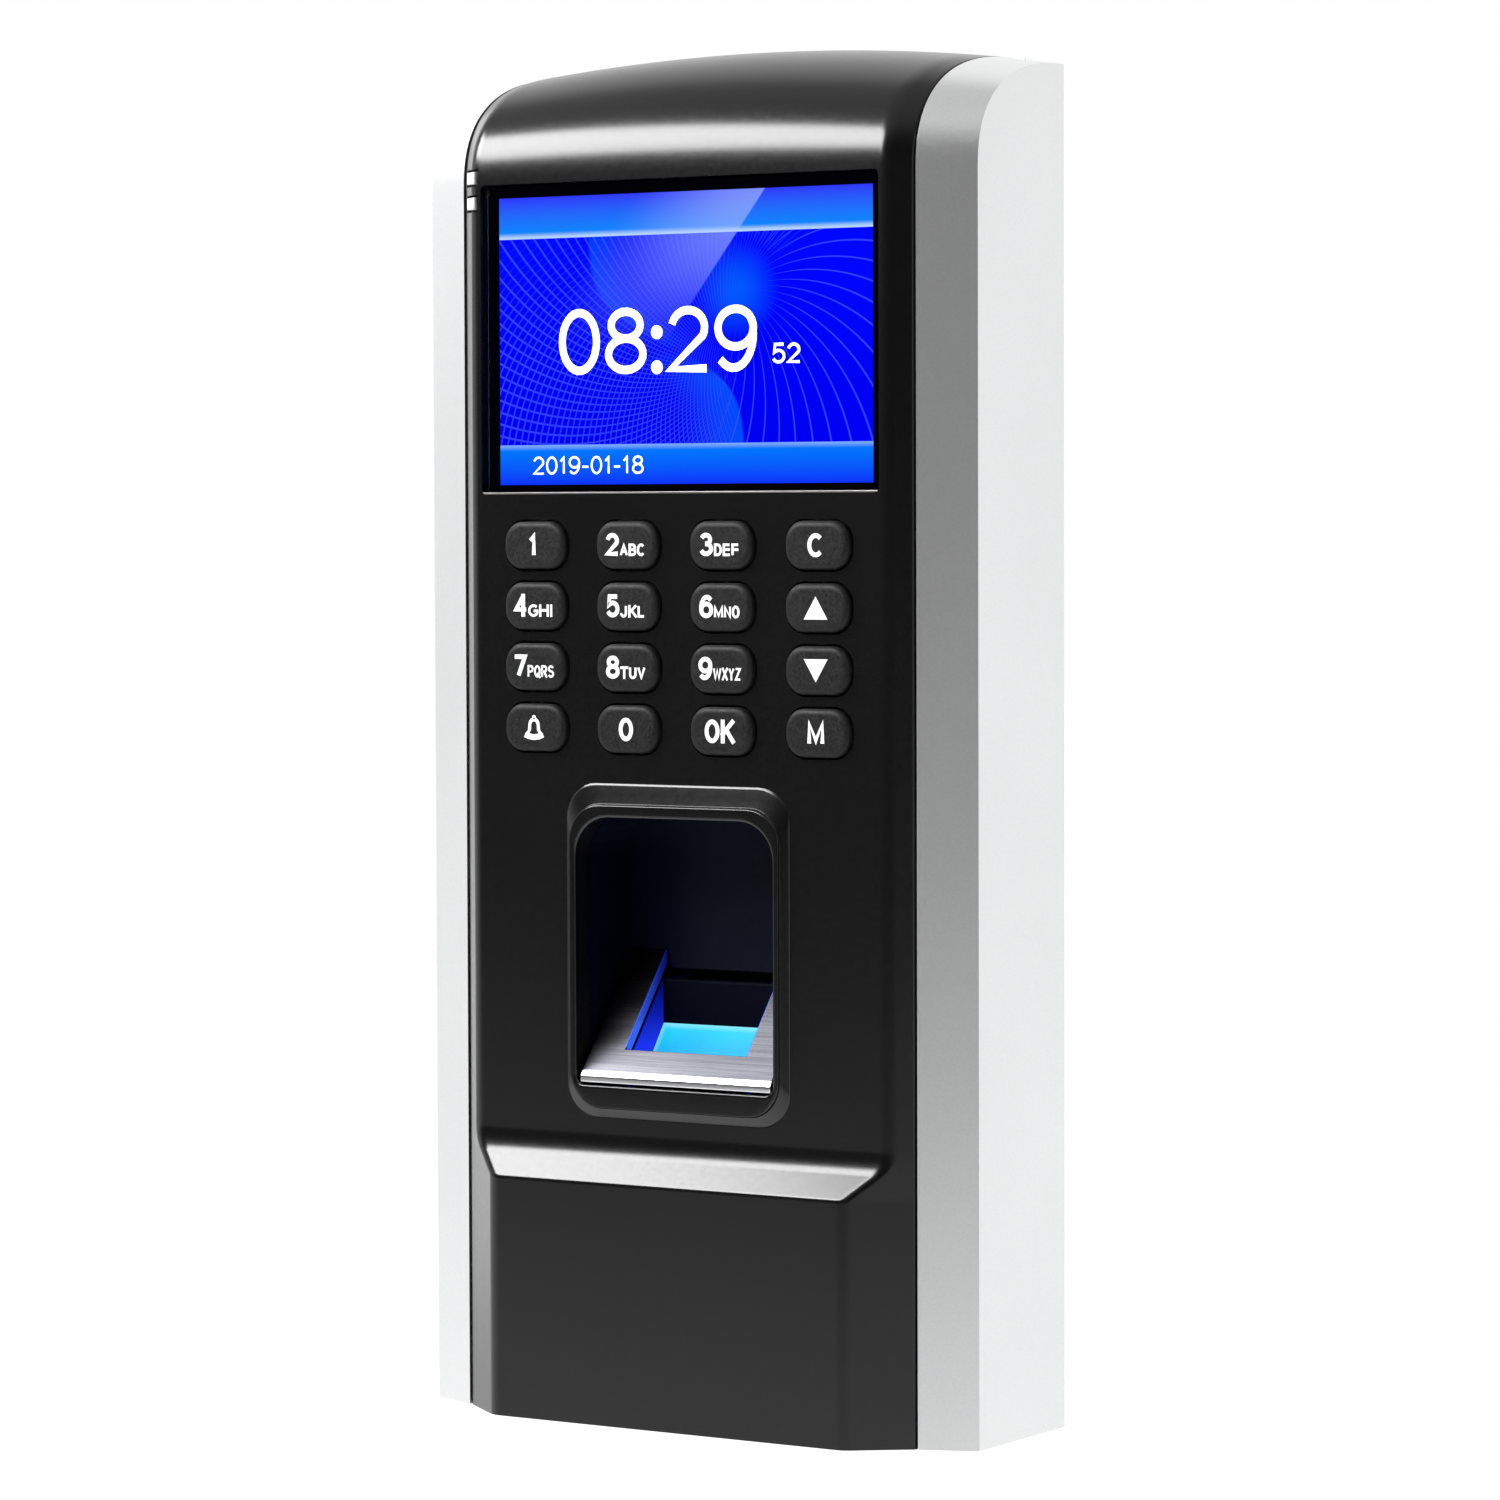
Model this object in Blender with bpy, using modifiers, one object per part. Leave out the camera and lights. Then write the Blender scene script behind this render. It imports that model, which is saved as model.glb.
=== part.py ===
"""Wall-mounted fingerprint scanner terminal.

Metres, +Z up, the front faces -Y and the wall is the plane y = 0. Every height below is measured from the
terminal's base; the root empty then lowers the assembly so that the origin is the wall plate's rear face.
"""

import math

import bmesh
import bpy
from mathutils import Vector

MM = 0.001
GAP = 0.3 * MM

# Outer form, in plan: silver side panels, a chamfered black centre shell and a flat front.
WIDTH = 83.0 * MM
SIDE_DEPTH = 22.0 * MM
SEAM_X = 34.2 * MM
SEAM_DEPTH = 25.0 * MM
CHAMFER_SLOPE = 0.733
FACE_DEPTH = 27.1 * MM
FOOT_DEPTH = 30.5 * MM

# Outer form, in height: lower panel, ledge, flat front, rounded hood.
LEDGE_LOW = 31.3 * MM
LEDGE_HIGH = 37.3 * MM
LEDGE_TILT = math.radians(38.5)
BEND_START = 159.5 * MM
BEND_POWER = 2.4
SIDE_TOP = 173.9 * MM
SEAM_TOP = 175.0 * MM
CROWN_TOP = 177.1 * MM
ORIGIN_HEIGHT = 87.0 * MM

SHELL_WALL = 2.0 * MM
SIDE_WALL = 1.6 * MM
BEND_STEPS = 12
LEDGE_STEPS = 6

# Display.
LENS_HALF_X = 29.9 * MM
LENS_LOW = 119.9 * MM
LENS_HIGH = 159.4 * MM
LENS_RECESS = 0.4 * MM
LENS_THICK = 1.2 * MM
PANEL_THICK = 2.4 * MM
BACKLIGHT_THICK = 2.9 * MM

# Keypad: four columns and four rows.
KEY_PITCH_X = 14.31 * MM
KEY_PITCH_Z = 7.85 * MM
KEY_TOP_ROW = 113.05 * MM
KEY_HALF_X = 4.7 * MM
KEY_HALF_Z = 3.05 * MM
KEY_RADIUS = 2.6 * MM
KEY_PROUD = 0.9 * MM
KEY_CHAMFER = 0.45 * MM
KEY_TRAVEL = 1.0 * MM
KEY_FLANGE = 0.55 * MM
KEY_FLANGE_THICK = 0.8 * MM
KEY_NAMES = (
    ("key_1", "key_2", "key_3", "key_clear"),
    ("key_4", "key_5", "key_6", "key_up"),
    ("key_7", "key_8", "key_9", "key_down"),
    ("key_bell", "key_0", "key_ok", "key_menu"),
)

# Finger recess: a raised surround, an opening and a sloping metal frame with the scanner glass in it.
BOSS_PROUD = 1.2 * MM
BOSS_HALF_X = 17.0 * MM
BOSS_LOW = 39.3 * MM
BOSS_HIGH = 82.5 * MM
BOSS_RADIUS = 4.6 * MM
BOSS_SIDE_CHAMFER = 1.1 * MM
BOSS_LOW_CHAMFER = 1.4 * MM
BOSS_TOP_CHAMFER = 2.8 * MM
MOUTH_HALF_X = 15.0 * MM
MOUTH_LOW = 43.6 * MM
MOUTH_HIGH = 78.1 * MM
MOUTH_RADIUS = 5.0 * MM
RECESS_BACK = 15.2 * MM
GUIDE_WALL = 1.3 * MM
FRAME_HALF_X = 14.5 * MM
FRAME_FRONT = (28.0 * MM, 44.8 * MM)
FRAME_ANGLE = math.radians(51.3)
FRAME_THICK = 1.2 * MM
FRAME_LIP = 0.9 * MM
WINDOW_HALF_X = 9.2 * MM
WINDOW_FRONT = 25.3 * MM
WELL_FRONT = 23.4 * MM
WELL_BACK = 16.6 * MM
WELL_FLOOR = 39.5 * MM
GLASS_TOP = 51.0 * MM
GLASS_ANGLE = math.radians(54)

# Rear cover, boards and wall plate.
COVER_REAR = 1.8 * MM
COVER_THICK = 2.0 * MM
WALL_PLATE_THICK = 1.2 * MM
WALL_PLATE_HALF_X = 27.0 * MM
WALL_PLATE_LOW = 34.0 * MM
WALL_PLATE_HIGH = 150.0 * MM
CABLE_HALF_X = 21.5 * MM
CABLE_LOW = 102.0 * MM
CABLE_HIGH = 132.0 * MM
BOARD_THICK = 1.6 * MM
MAIN_BOARD_REAR = 10.6 * MM
POST_RADIUS = 2.5 * MM
POST_X = 28.5 * MM
POST_HEIGHTS = {"lower": 7.5 * MM, "upper": 164.0 * MM}
SCREW_RADIUS = 1.2 * MM
SCREW_CLEARANCE = 1.5 * MM
SCREW_HEAD_RADIUS = 2.5 * MM
HOOK_X = 12.0 * MM
HOOK_HALF_X = 4.0 * MM
HOOK_Z = 138.0 * MM
HOOK_REACH = 6.0 * MM
FLANGE_HALF_X = 8.0 * MM
FLANGE_LOW = 2.6 * MM
FLANGE_REACH = 9.0 * MM
LOCK_SCREW_Y = -5.5 * MM
SPEAKER_AT = (-17.0 * MM, 20.0 * MM)
SPEAKER_RADIUS = 10.0 * MM
TAMPER_AT = (12.0 * MM, 94.0 * MM)
TAMPER_TRAVEL = 1.2 * MM
HEADER_WALL = 1.2 * MM
HEADER_TIP = 4.1 * MM
HEADER_HEIGHT = 8.0 * MM

# name: (left edge, width, low edge) of each wiring header on the main board.
HEADERS = {
    "network_header": (-19.0 * MM, 22.0 * MM, 119.0 * MM),
    "lock_header": (6.5 * MM, 14.0 * MM, 119.0 * MM),
    "power_header": (-19.0 * MM, 12.0 * MM, 106.0 * MM),
    "reader_header": (-3.0 * MM, 18.0 * MM, 106.0 * MM),
}

# name: (low, high) of each status light, on the left edge beside the display.
STATUS_LIGHTS = {
    "status_light_upper": (159.9 * MM, 161.5 * MM),
    "status_light_lower": (156.6 * MM, 158.2 * MM),
}
STATUS_LEFT = -33.2 * MM
STATUS_RIGHT = -31.0 * MM
STATUS_REAR = 22.5 * MM

FACING_FRONT = (math.pi / 2, 0, 0)
FACING_SIDE = (math.pi / 2, 0, math.pi / 2)
FACING_UP = (0, 0, 0)


# ---------------------------------------------------------------- scene, materials and small tools


def clear_scene():
    for obj in list(bpy.data.objects):
        bpy.data.objects.remove(obj, do_unlink=True)


def new_collection(name):
    collection = bpy.data.collections.new(name)
    bpy.context.scene.collection.children.link(collection)
    return collection


def new_material(name, colour, roughness, metallic=0.0, alpha=1.0):
    material = bpy.data.materials.new(name)
    material.use_nodes = True
    shader = material.node_tree.nodes["Principled BSDF"]
    shader.inputs["Base Color"].default_value = (*colour, 1.0)
    shader.inputs["Roughness"].default_value = roughness
    shader.inputs["Metallic"].default_value = metallic
    shader.inputs["Alpha"].default_value = alpha
    material.diffuse_color = (*colour, alpha)
    return material


clear_scene()
PARTS = new_collection("fingerprint_terminal")
CUTTERS = new_collection("cutters")
ROOT = bpy.data.objects.new("terminal_frame", None)
PARTS.objects.link(ROOT)
ROOT.location = (0, 0, -ORIGIN_HEIGHT)

BLACK_PLASTIC = new_material("black_plastic", (0.012, 0.012, 0.013), 0.3)
SILVER_PAINT = new_material("silver_paint", (0.72, 0.73, 0.74), 0.35, 0.4)
KEY_RUBBER = new_material("key_rubber", (0.045, 0.047, 0.05), 0.6)
NAVY_PLASTIC = new_material("navy_plastic", (0.005, 0.006, 0.02), 0.4)
CLEAR_LENS = new_material("clear_lens", (0.02, 0.02, 0.03), 0.05, 0.0, 0.4)
DISPLAY_BLUE = new_material("display_blue", (0.02, 0.05, 0.9), 0.3)
WHITE_DIFFUSER = new_material("white_diffuser", (0.85, 0.85, 0.83), 0.5)
SCANNER_GLASS = new_material("scanner_glass", (0.05, 0.6, 0.95), 0.1)
BRUSHED_STEEL = new_material("brushed_steel", (0.45, 0.45, 0.48), 0.3, 1.0)
ZINC_STEEL = new_material("zinc_steel", (0.6, 0.61, 0.62), 0.35, 1.0)
BOARD_GREEN = new_material("board_green", (0.02, 0.16, 0.07), 0.45)
SILICONE_GREY = new_material("silicone_grey", (0.3, 0.3, 0.31), 0.7)
HEADER_IVORY = new_material("header_ivory", (0.78, 0.75, 0.66), 0.5)
RELAY_BLUE = new_material("relay_blue", (0.03, 0.12, 0.35), 0.45)
CELL_STEEL = new_material("cell_steel", (0.7, 0.7, 0.7), 0.25, 1.0)


def add_object(name, mesh, material, location=(0, 0, 0), rotation=(0, 0, 0)):
    """Links a mesh as a named part, placed in heights above the base."""
    obj = bpy.data.objects.new(name, mesh)
    mesh.materials.clear()
    mesh.materials.append(material)
    PARTS.objects.link(obj)
    obj.parent = ROOT
    obj.location = location
    obj.rotation_euler = rotation
    return obj


def mesh_from(name, bm):
    mesh = bpy.data.meshes.new(name)
    bm.to_mesh(mesh)
    bm.free()
    return mesh


def smooth(obj, degrees=30):
    obj.data.shade_smooth()
    obj.data.set_sharp_from_angle(angle=math.radians(degrees))


def box(name, material, low, high):
    """A block between two corners, with its origin at its centre."""
    size = [b - a for a, b in zip(low, high)]
    centre = [(a + b) / 2 for a, b in zip(low, high)]
    bm = bmesh.new()
    bmesh.ops.create_cube(bm, size=1)
    bmesh.ops.scale(bm, vec=size, verts=bm.verts)
    return add_object(name, mesh_from(name, bm), material, centre)


def cylinder(name, material, radius, start, end, segments=24):
    """A round bar from one point to another."""
    start, end = Vector(start), Vector(end)
    bm = bmesh.new()
    bmesh.ops.create_cone(
        bm, cap_ends=True, segments=segments, radius1=radius, radius2=radius, depth=(end - start).length
    )
    turn = (end - start).to_track_quat("Z", "Y").to_euler()
    obj = add_object(name, mesh_from(name, bm), material, (start + end) / 2, turn)
    smooth(obj)
    return obj


def extruded(name, material, loops, thickness, location, facing):
    """A flat outline, with any further loops as holes in it, given a thickness about its own plane."""
    curve = bpy.data.curves.new(name, "CURVE")
    curve.dimensions = "2D"
    curve.fill_mode = "BOTH"
    curve.extrude = thickness / 2
    for loop in loops:
        spline = curve.splines.new("POLY")
        spline.points.add(len(loop) - 1)
        for point, (u, v) in zip(spline.points, loop):
            point.co = (u, v, 0, 1)
        spline.use_cyclic_u = True
    guide = bpy.data.objects.new(name + "_outline", curve)
    PARTS.objects.link(guide)
    bpy.context.view_layer.update()
    evaluated = guide.evaluated_get(bpy.context.evaluated_depsgraph_get())
    mesh = bpy.data.meshes.new_from_object(evaluated)
    bpy.data.objects.remove(guide, do_unlink=True)
    bm = bmesh.new()
    bm.from_mesh(mesh)
    bmesh.ops.remove_doubles(bm, verts=bm.verts, dist=0.001 * MM)
    bm.to_mesh(mesh)
    bm.free()
    mesh.name = name
    return add_object(name, mesh, material, location, facing)


def rounded_rectangle(half_u, half_v, radius, steps=4, centre_v=0.0):
    """Corner arcs of an upright rounded rectangle, anticlockwise."""
    points = []
    corners = ((1, 1, 0), (-1, 1, 90), (-1, -1, 180), (1, -1, 270))
    for sign_u, sign_v, start in corners:
        for step in range(steps + 1):
            angle = math.radians(start + 90 * step / steps)
            u = sign_u * (half_u - radius) + radius * math.cos(angle)
            v = centre_v + sign_v * (half_v - radius) + radius * math.sin(angle)
            points.append((u, v))
    return points


def rectangle(low_u, low_v, high_u, high_v):
    return [(low_u, low_v), (high_u, low_v), (high_u, high_v), (low_u, high_v)]


def circle(centre_u, centre_v, radius, steps=20):
    turns = (2 * math.pi * step / steps for step in range(steps))
    return [(centre_u + radius * math.cos(turn), centre_v + radius * math.sin(turn)) for turn in turns]


def lofted(name, material, rings, location=(0, 0, 0)):
    """Skins a stack of outlines, each (depth, points), from the rear to the front, with both ends closed."""
    bm = bmesh.new()
    loops = []
    for depth, outline in rings:
        loops.append([bm.verts.new((u, -depth, v)) for u, v in outline])
    for lower, upper in zip(loops, loops[1:]):
        for i in range(len(lower)):
            j = (i + 1) % len(lower)
            bm.faces.new((lower[i], lower[j], upper[j], upper[i]))
    bm.faces.new(loops[0])
    bm.faces.new(loops[-1])
    bmesh.ops.recalc_face_normals(bm, faces=bm.faces)
    obj = add_object(name, mesh_from(name, bm), material, location)
    smooth(obj)
    return obj


def boolean(target, tool, operation="DIFFERENCE"):
    """Cuts the tool from the target, or joins it on, and files the tool away with the cutters."""
    PARTS.objects.unlink(tool)
    CUTTERS.objects.link(tool)
    tool.hide_render = True
    tool.display_type = "WIRE"
    modifier = target.modifiers.new(tool.name, "BOOLEAN")
    modifier.operation = operation
    modifier.object = tool


def add_wall(obj, thickness):
    modifier = obj.modifiers.new("wall", "SOLIDIFY")
    modifier.thickness = thickness
    modifier.offset = -1
    modifier.use_even_offset = True


# ---------------------------------------------------------------- outer form


def crown_height(x):
    """Height of the top edge at the rear: an arched centre, falling in a straight line over each side panel."""
    x = abs(x)
    if x <= SEAM_X:
        return CROWN_TOP - (CROWN_TOP - SEAM_TOP) * (x / SEAM_X) ** 2
    return SEAM_TOP - (SEAM_TOP - SIDE_TOP) * (x - SEAM_X) / (WIDTH / 2 - SEAM_X)


def crease_x(depth):
    """Half width of the flat front where it stands this far from the wall."""
    return SEAM_X - (depth - SEAM_DEPTH) / CHAMFER_SLOPE


def body_depth(x, front):
    """Distance from the wall at x, for a flat front standing this far out."""
    x = abs(x)
    if x <= SEAM_X:
        return min(SEAM_DEPTH + CHAMFER_SLOPE * (SEAM_X - x), front)
    return SEAM_DEPTH - (SEAM_DEPTH - SIDE_DEPTH) * (x - SEAM_X) / (WIDTH / 2 - SEAM_X)


def profile_rows():
    """(front depth, height, turn) up the front and over the top; turn is the angle round the hood's bend."""
    rows = [(FOOT_DEPTH, 0.0, 0.0)]
    # The ledge: a straight slope, then a hollow curve into the flat front.
    rows.append((FOOT_DEPTH, LEDGE_LOW, 0.0))
    rise, run = FOOT_DEPTH - FACE_DEPTH, LEDGE_HIGH - LEDGE_LOW
    radius = (run * math.tan(LEDGE_TILT) - rise) / (1 / math.cos(LEDGE_TILT) - 1)
    for step in range(LEDGE_STEPS + 1):
        tilt = LEDGE_TILT * (1 - step / LEDGE_STEPS)
        rows.append((FACE_DEPTH + radius * (1 - math.cos(tilt)), LEDGE_HIGH - radius * math.sin(tilt), 0.0))
    for step in range(BEND_STEPS + 1):
        rows.append((FACE_DEPTH, BEND_START, math.pi / 2 * step / BEND_STEPS))
    return rows


def surface_point(x, row):
    """The outer surface at x on one row of the profile."""
    front, height, turn = row
    depth = body_depth(x, front) * max(math.cos(turn), 0.0) ** (2 / BEND_POWER)
    rise = (crown_height(x) - BEND_START) * math.sin(turn) ** (2 / BEND_POWER)
    return Vector((x, -max(depth, GAP), height + rise))


def surface_mesh(name, columns):
    """The outer skin over some columns, each a function from a row to its x: a tub open towards the wall."""
    rows = profile_rows()
    bm = bmesh.new()
    grid = [[bm.verts.new(surface_point(column(row), row)) for column in columns] for row in rows]
    for lower, upper in zip(grid, grid[1:]):
        for i in range(len(columns) - 1):
            bm.faces.new((lower[i], lower[i + 1], upper[i + 1], upper[i]))
    left = bm.verts.new((columns[0](rows[0]), -GAP, 0))
    right = bm.verts.new((columns[-1](rows[0]), -GAP, 0))
    bm.faces.new([left, *grid[0], right])
    bm.faces.new([left, *(line[0] for line in grid)])
    bm.faces.new([right, *(line[-1] for line in grid)])
    bmesh.ops.recalc_face_normals(bm, faces=bm.faces)
    bm.faces.ensure_lookup_table()
    if bm.faces[0].normal.y > 0:
        bmesh.ops.reverse_faces(bm, faces=bm.faces)
    return mesh_from(name, bm)


def fixed_column(x):
    return lambda row: x


def crease_column(share):
    return lambda row: share * crease_x(row[0])


# ---------------------------------------------------------------- shells and wall plate


def make_front_shell():
    edge = SEAM_X - GAP / 2
    shares = (-1, -0.75, -0.5, -0.25, 0, 0.25, 0.5, 0.75, 1)
    columns = [fixed_column(-edge), *(crease_column(share) for share in shares), fixed_column(edge)]
    mesh = surface_mesh("front_shell", columns)
    shell = add_object("front_shell", mesh, BLACK_PLASTIC)
    smooth(shell, 25)
    add_wall(shell, SHELL_WALL)

    boolean(shell, finger_surround(), "UNION")
    for _, post in screw_posts():
        boolean(shell, post, "UNION")
    for cutter in shell_cutters():
        boolean(shell, cutter)


def finger_surround():
    """The raised rim around the finger recess, with a broad upper chamfer."""
    base_half = (BOSS_HIGH - BOSS_LOW) / 2
    base_mid = (BOSS_HIGH + BOSS_LOW) / 2
    top_high = BOSS_HIGH - BOSS_TOP_CHAMFER
    top_low = BOSS_LOW + BOSS_LOW_CHAMFER
    base = rounded_rectangle(BOSS_HALF_X, base_half, BOSS_RADIUS, 5, base_mid)
    top = rounded_rectangle(
        BOSS_HALF_X - BOSS_SIDE_CHAMFER, (top_high - top_low) / 2, BOSS_RADIUS, 5, (top_high + top_low) / 2
    )
    rings = [(FACE_DEPTH - SHELL_WALL / 2, base), (FACE_DEPTH, base), (FACE_DEPTH + BOSS_PROUD, top)]
    return lofted("finger_surround", BLACK_PLASTIC, rings)


def screw_posts():
    """Posts that the rear cover's screws bite into, rooted half way into the shell's wall."""
    roots = {"lower": 26.6 * MM, "upper": 25.6 * MM}
    tip = COVER_REAR + COVER_THICK + GAP
    for level, height in POST_HEIGHTS.items():
        for side, x in (("left", -POST_X), ("right", POST_X)):
            name = f"post_{level}_{side}"
            yield name, cylinder(name, BLACK_PLASTIC, POST_RADIUS, (x, -roots[level], height), (x, -tip, height))


def shell_cutters():
    """Everything that is opened in the front shell."""
    deep = 12 * MM
    middle = -FACE_DEPTH
    lens_mid = (LENS_LOW + LENS_HIGH) / 2
    lens_hole = rounded_rectangle(LENS_HALF_X + GAP, (LENS_HIGH - LENS_LOW) / 2 + GAP, 0.6 * MM, 2, lens_mid)
    yield extruded("lens_hole", BLACK_PLASTIC, [lens_hole], deep, (0, middle, 0), FACING_FRONT)

    yield extruded("finger_mouth", BLACK_PLASTIC, [mouth_outline(MOUTH_LOW)], deep, (0, middle, 0), FACING_FRONT)

    key_hole = rounded_rectangle(KEY_HALF_X + GAP, KEY_HALF_Z + GAP, KEY_RADIUS + GAP)
    for name, x, height in key_places():
        yield extruded(name + "_hole", BLACK_PLASTIC, [key_hole], deep, (x, middle, height), FACING_FRONT)

    for name, (low, high) in STATUS_LIGHTS.items():
        low_corner = (STATUS_LEFT - GAP, -FACE_DEPTH - 2 * MM, low - GAP)
        high_corner = (STATUS_RIGHT + GAP, -STATUS_REAR + GAP, high + GAP)
        yield box(name + "_hole", BLACK_PLASTIC, low_corner, high_corner)

    for level, height in POST_HEIGHTS.items():
        for side, x in (("left", -POST_X), ("right", POST_X)):
            start = (x, -14 * MM, height)
            end = (x, -2 * MM, height)
            yield cylinder(f"post_bore_{level}_{side}", BLACK_PLASTIC, SCREW_CLEARANCE, start, end, 16)

    y = LOCK_SCREW_Y
    yield cylinder("lock_head_pocket", BLACK_PLASTIC, SCREW_HEAD_RADIUS + GAP, (0, y, -MM), (0, y, 1.3 * MM))
    yield cylinder("lock_screw_hole", BLACK_PLASTIC, SCREW_CLEARANCE, (0, y, MM), (0, y, 4 * MM), 16)


def mouth_outline(low):
    """The finger opening: square below, with round upper corners."""
    arch = rounded_rectangle(MOUTH_HALF_X, MOUTH_RADIUS, MOUTH_RADIUS, 5, MOUTH_HIGH - MOUTH_RADIUS)
    upper = arch[:12]
    return [*upper, (-MOUTH_HALF_X, low), (MOUTH_HALF_X, low)]


def key_places():
    """(name, x, height) of every key."""
    for row, names in enumerate(KEY_NAMES):
        for column, name in enumerate(names):
            yield name, (column - 1.5) * KEY_PITCH_X, KEY_TOP_ROW - row * KEY_PITCH_Z


def make_side_panel(name, side):
    """A hollow silver side trim, open only towards the wall."""
    edges = (side * (SEAM_X + GAP / 2), side * WIDTH / 2)
    columns = [fixed_column(x) for x in sorted(edges)]
    panel = add_object(name, surface_mesh(name, columns), SILVER_PAINT)
    smooth(panel, 15)
    add_wall(panel, SIDE_WALL)


def make_rear_cover():
    """The flat rear housing: a window over the wiring headers, hook slots, sound slots and screw holes."""
    half = SEAM_X - GAP / 2 - SHELL_WALL - GAP
    arc = [half * (1 - step / 5) for step in range(11)]
    top = [(x, crown_height(x) - SHELL_WALL - 1.2 * GAP) for x in arc]
    outline = [(-half, SHELL_WALL + GAP), (half, SHELL_WALL + GAP), *top]
    window = rectangle(-CABLE_HALF_X, CABLE_LOW, CABLE_HALF_X, CABLE_HIGH)
    plunger_hole = circle(*TAMPER_AT, 2.0 * MM)
    screw_holes = [circle(x, z, SCREW_CLEARANCE, 16) for _, x, z in screw_places()]
    hook_slots = []
    for x in (-HOOK_X, HOOK_X):
        half_slot = HOOK_HALF_X + GAP
        hook_slots.append(rectangle(x - half_slot, HOOK_Z - 4.6 * MM, x + half_slot, HOOK_Z + WALL_PLATE_THICK + GAP))
    sound_slots = []
    for row in (-1, 0, 1):
        slot = rounded_rectangle(6 * MM, 0.7 * MM, 0.65 * MM, 2, SPEAKER_AT[1] + 3.2 * MM * row)
        sound_slots.append([(SPEAKER_AT[0] + x, z) for x, z in slot])
    loops = [outline, window, plunger_hole, *screw_holes, *hook_slots, *sound_slots]
    middle = (0, -(COVER_REAR + COVER_THICK / 2), 0)
    cover = extruded("rear_cover", BLACK_PLASTIC, loops, COVER_THICK, middle, FACING_FRONT)

    notch_half = FLANGE_HALF_X + GAP
    notch_top = FLANGE_LOW + WALL_PLATE_THICK + 1 * MM
    boolean(cover, box("flange_notch", BLACK_PLASTIC, (-notch_half, -6 * MM, 0), (notch_half, MM, notch_top)))
    for name, x, z in screw_places():
        start = (x, -COVER_REAR - 1.3 * MM, z)
        pocket = cylinder(name + "_pocket", BLACK_PLASTIC, SCREW_HEAD_RADIUS + GAP, start, (x, MM, z))
        boolean(cover, pocket)


def screw_places():
    """(name, x, height) of the rear cover's screws."""
    for level, height in POST_HEIGHTS.items():
        for side, x in (("left", -POST_X), ("right", POST_X)):
            yield f"rear_screw_{level}_{side}", x, height


def make_wall_plate():
    """A steel plate screwed to the wall: two hooks hold the terminal and a bottom flange takes its lock screw."""
    outline = [
        (-FLANGE_HALF_X, FLANGE_LOW),
        (FLANGE_HALF_X, FLANGE_LOW),
        (FLANGE_HALF_X, WALL_PLATE_LOW - 5 * MM),
        (WALL_PLATE_HALF_X, WALL_PLATE_LOW),
        (WALL_PLATE_HALF_X, WALL_PLATE_HIGH),
        (-WALL_PLATE_HALF_X, WALL_PLATE_HIGH),
        (-WALL_PLATE_HALF_X, WALL_PLATE_LOW),
        (-FLANGE_HALF_X, WALL_PLATE_LOW - 5 * MM),
    ]
    window = rectangle(-CABLE_HALF_X, CABLE_LOW, CABLE_HALF_X, CABLE_HIGH)
    wall_screw_places = [(x, z) for x in (-21 * MM, 21 * MM) for z in (42 * MM, 143 * MM)]
    wall_screw_holes = [circle(x, z, 2.2 * MM, 16) for x, z in wall_screw_places]
    plunger_hole = circle(*TAMPER_AT, 3.0 * MM)
    loops = [outline, window, plunger_hole, *wall_screw_holes]
    middle = (0, -WALL_PLATE_THICK / 2, 0)
    plate = extruded("wall_plate", ZINC_STEEL, loops, WALL_PLATE_THICK, middle, FACING_FRONT)

    root = -WALL_PLATE_THICK / 2
    tip = -HOOK_REACH + WALL_PLATE_THICK
    arm_top = HOOK_Z + WALL_PLATE_THICK
    catch_top = HOOK_Z + 5 * MM
    hook = [
        (root, HOOK_Z),
        (root, arm_top),
        (tip, arm_top),
        (tip, catch_top),
        (-HOOK_REACH, catch_top),
        (-HOOK_REACH, HOOK_Z),
    ]
    for name, x in (("left_hook", -HOOK_X), ("right_hook", HOOK_X)):
        boolean(plate, extruded(name, ZINC_STEEL, [hook], 2 * HOOK_HALF_X, (x, 0, 0), FACING_SIDE), "UNION")
    inset = 0.1 * MM
    low = (-FLANGE_HALF_X + inset, -FLANGE_REACH, FLANGE_LOW + inset)
    high = (FLANGE_HALF_X - inset, root, FLANGE_LOW + WALL_PLATE_THICK)
    boolean(plate, box("lock_flange", ZINC_STEEL, low, high), "UNION")
    hole = cylinder(
        "flange_hole", ZINC_STEEL, SCREW_CLEARANCE, (0, LOCK_SCREW_Y, 0), (0, LOCK_SCREW_Y, 6 * MM), 16
    )
    boolean(plate, hole)


def make_screw(name, length, location, rotation):
    """A pan-head screw, turned about its own Z axis, with the top of its head at the origin."""
    head = 0.9 * MM
    profile = (
        (0, 0),
        (SCREW_HEAD_RADIUS * 0.8, 0),
        (SCREW_HEAD_RADIUS, -head / 2),
        (SCREW_HEAD_RADIUS, -head),
        (SCREW_RADIUS, -head),
        (SCREW_RADIUS, -length + SCREW_RADIUS),
        (0, -length),
    )
    turned(name, ZINC_STEEL, profile, 16, location, rotation)


def turned(name, material, profile, steps, location, rotation):
    """A profile of (radius, height) points, from the top down, turned round the Z axis."""
    mesh = bpy.data.meshes.new(name)
    edges = [(i, i + 1) for i in range(len(profile) - 1)]
    mesh.from_pydata([(radius, 0, height) for radius, height in profile], edges, [])
    obj = add_object(name, mesh, material, location, rotation)
    modifier = obj.modifiers.new("turn", "SCREW")
    modifier.steps = steps
    modifier.render_steps = steps
    modifier.use_merge_vertices = True
    modifier.merge_threshold = 0.00001
    return obj


def make_fasteners():
    for name, x, height in screw_places():
        make_screw(name, 9 * MM, (x, -COVER_REAR - 0.1 * MM, height), (-math.pi / 2, 0, 0))
    make_screw("wall_lock_screw", 7 * MM, (0, LOCK_SCREW_Y, 0.1 * MM), (math.pi, 0, 0))


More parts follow.
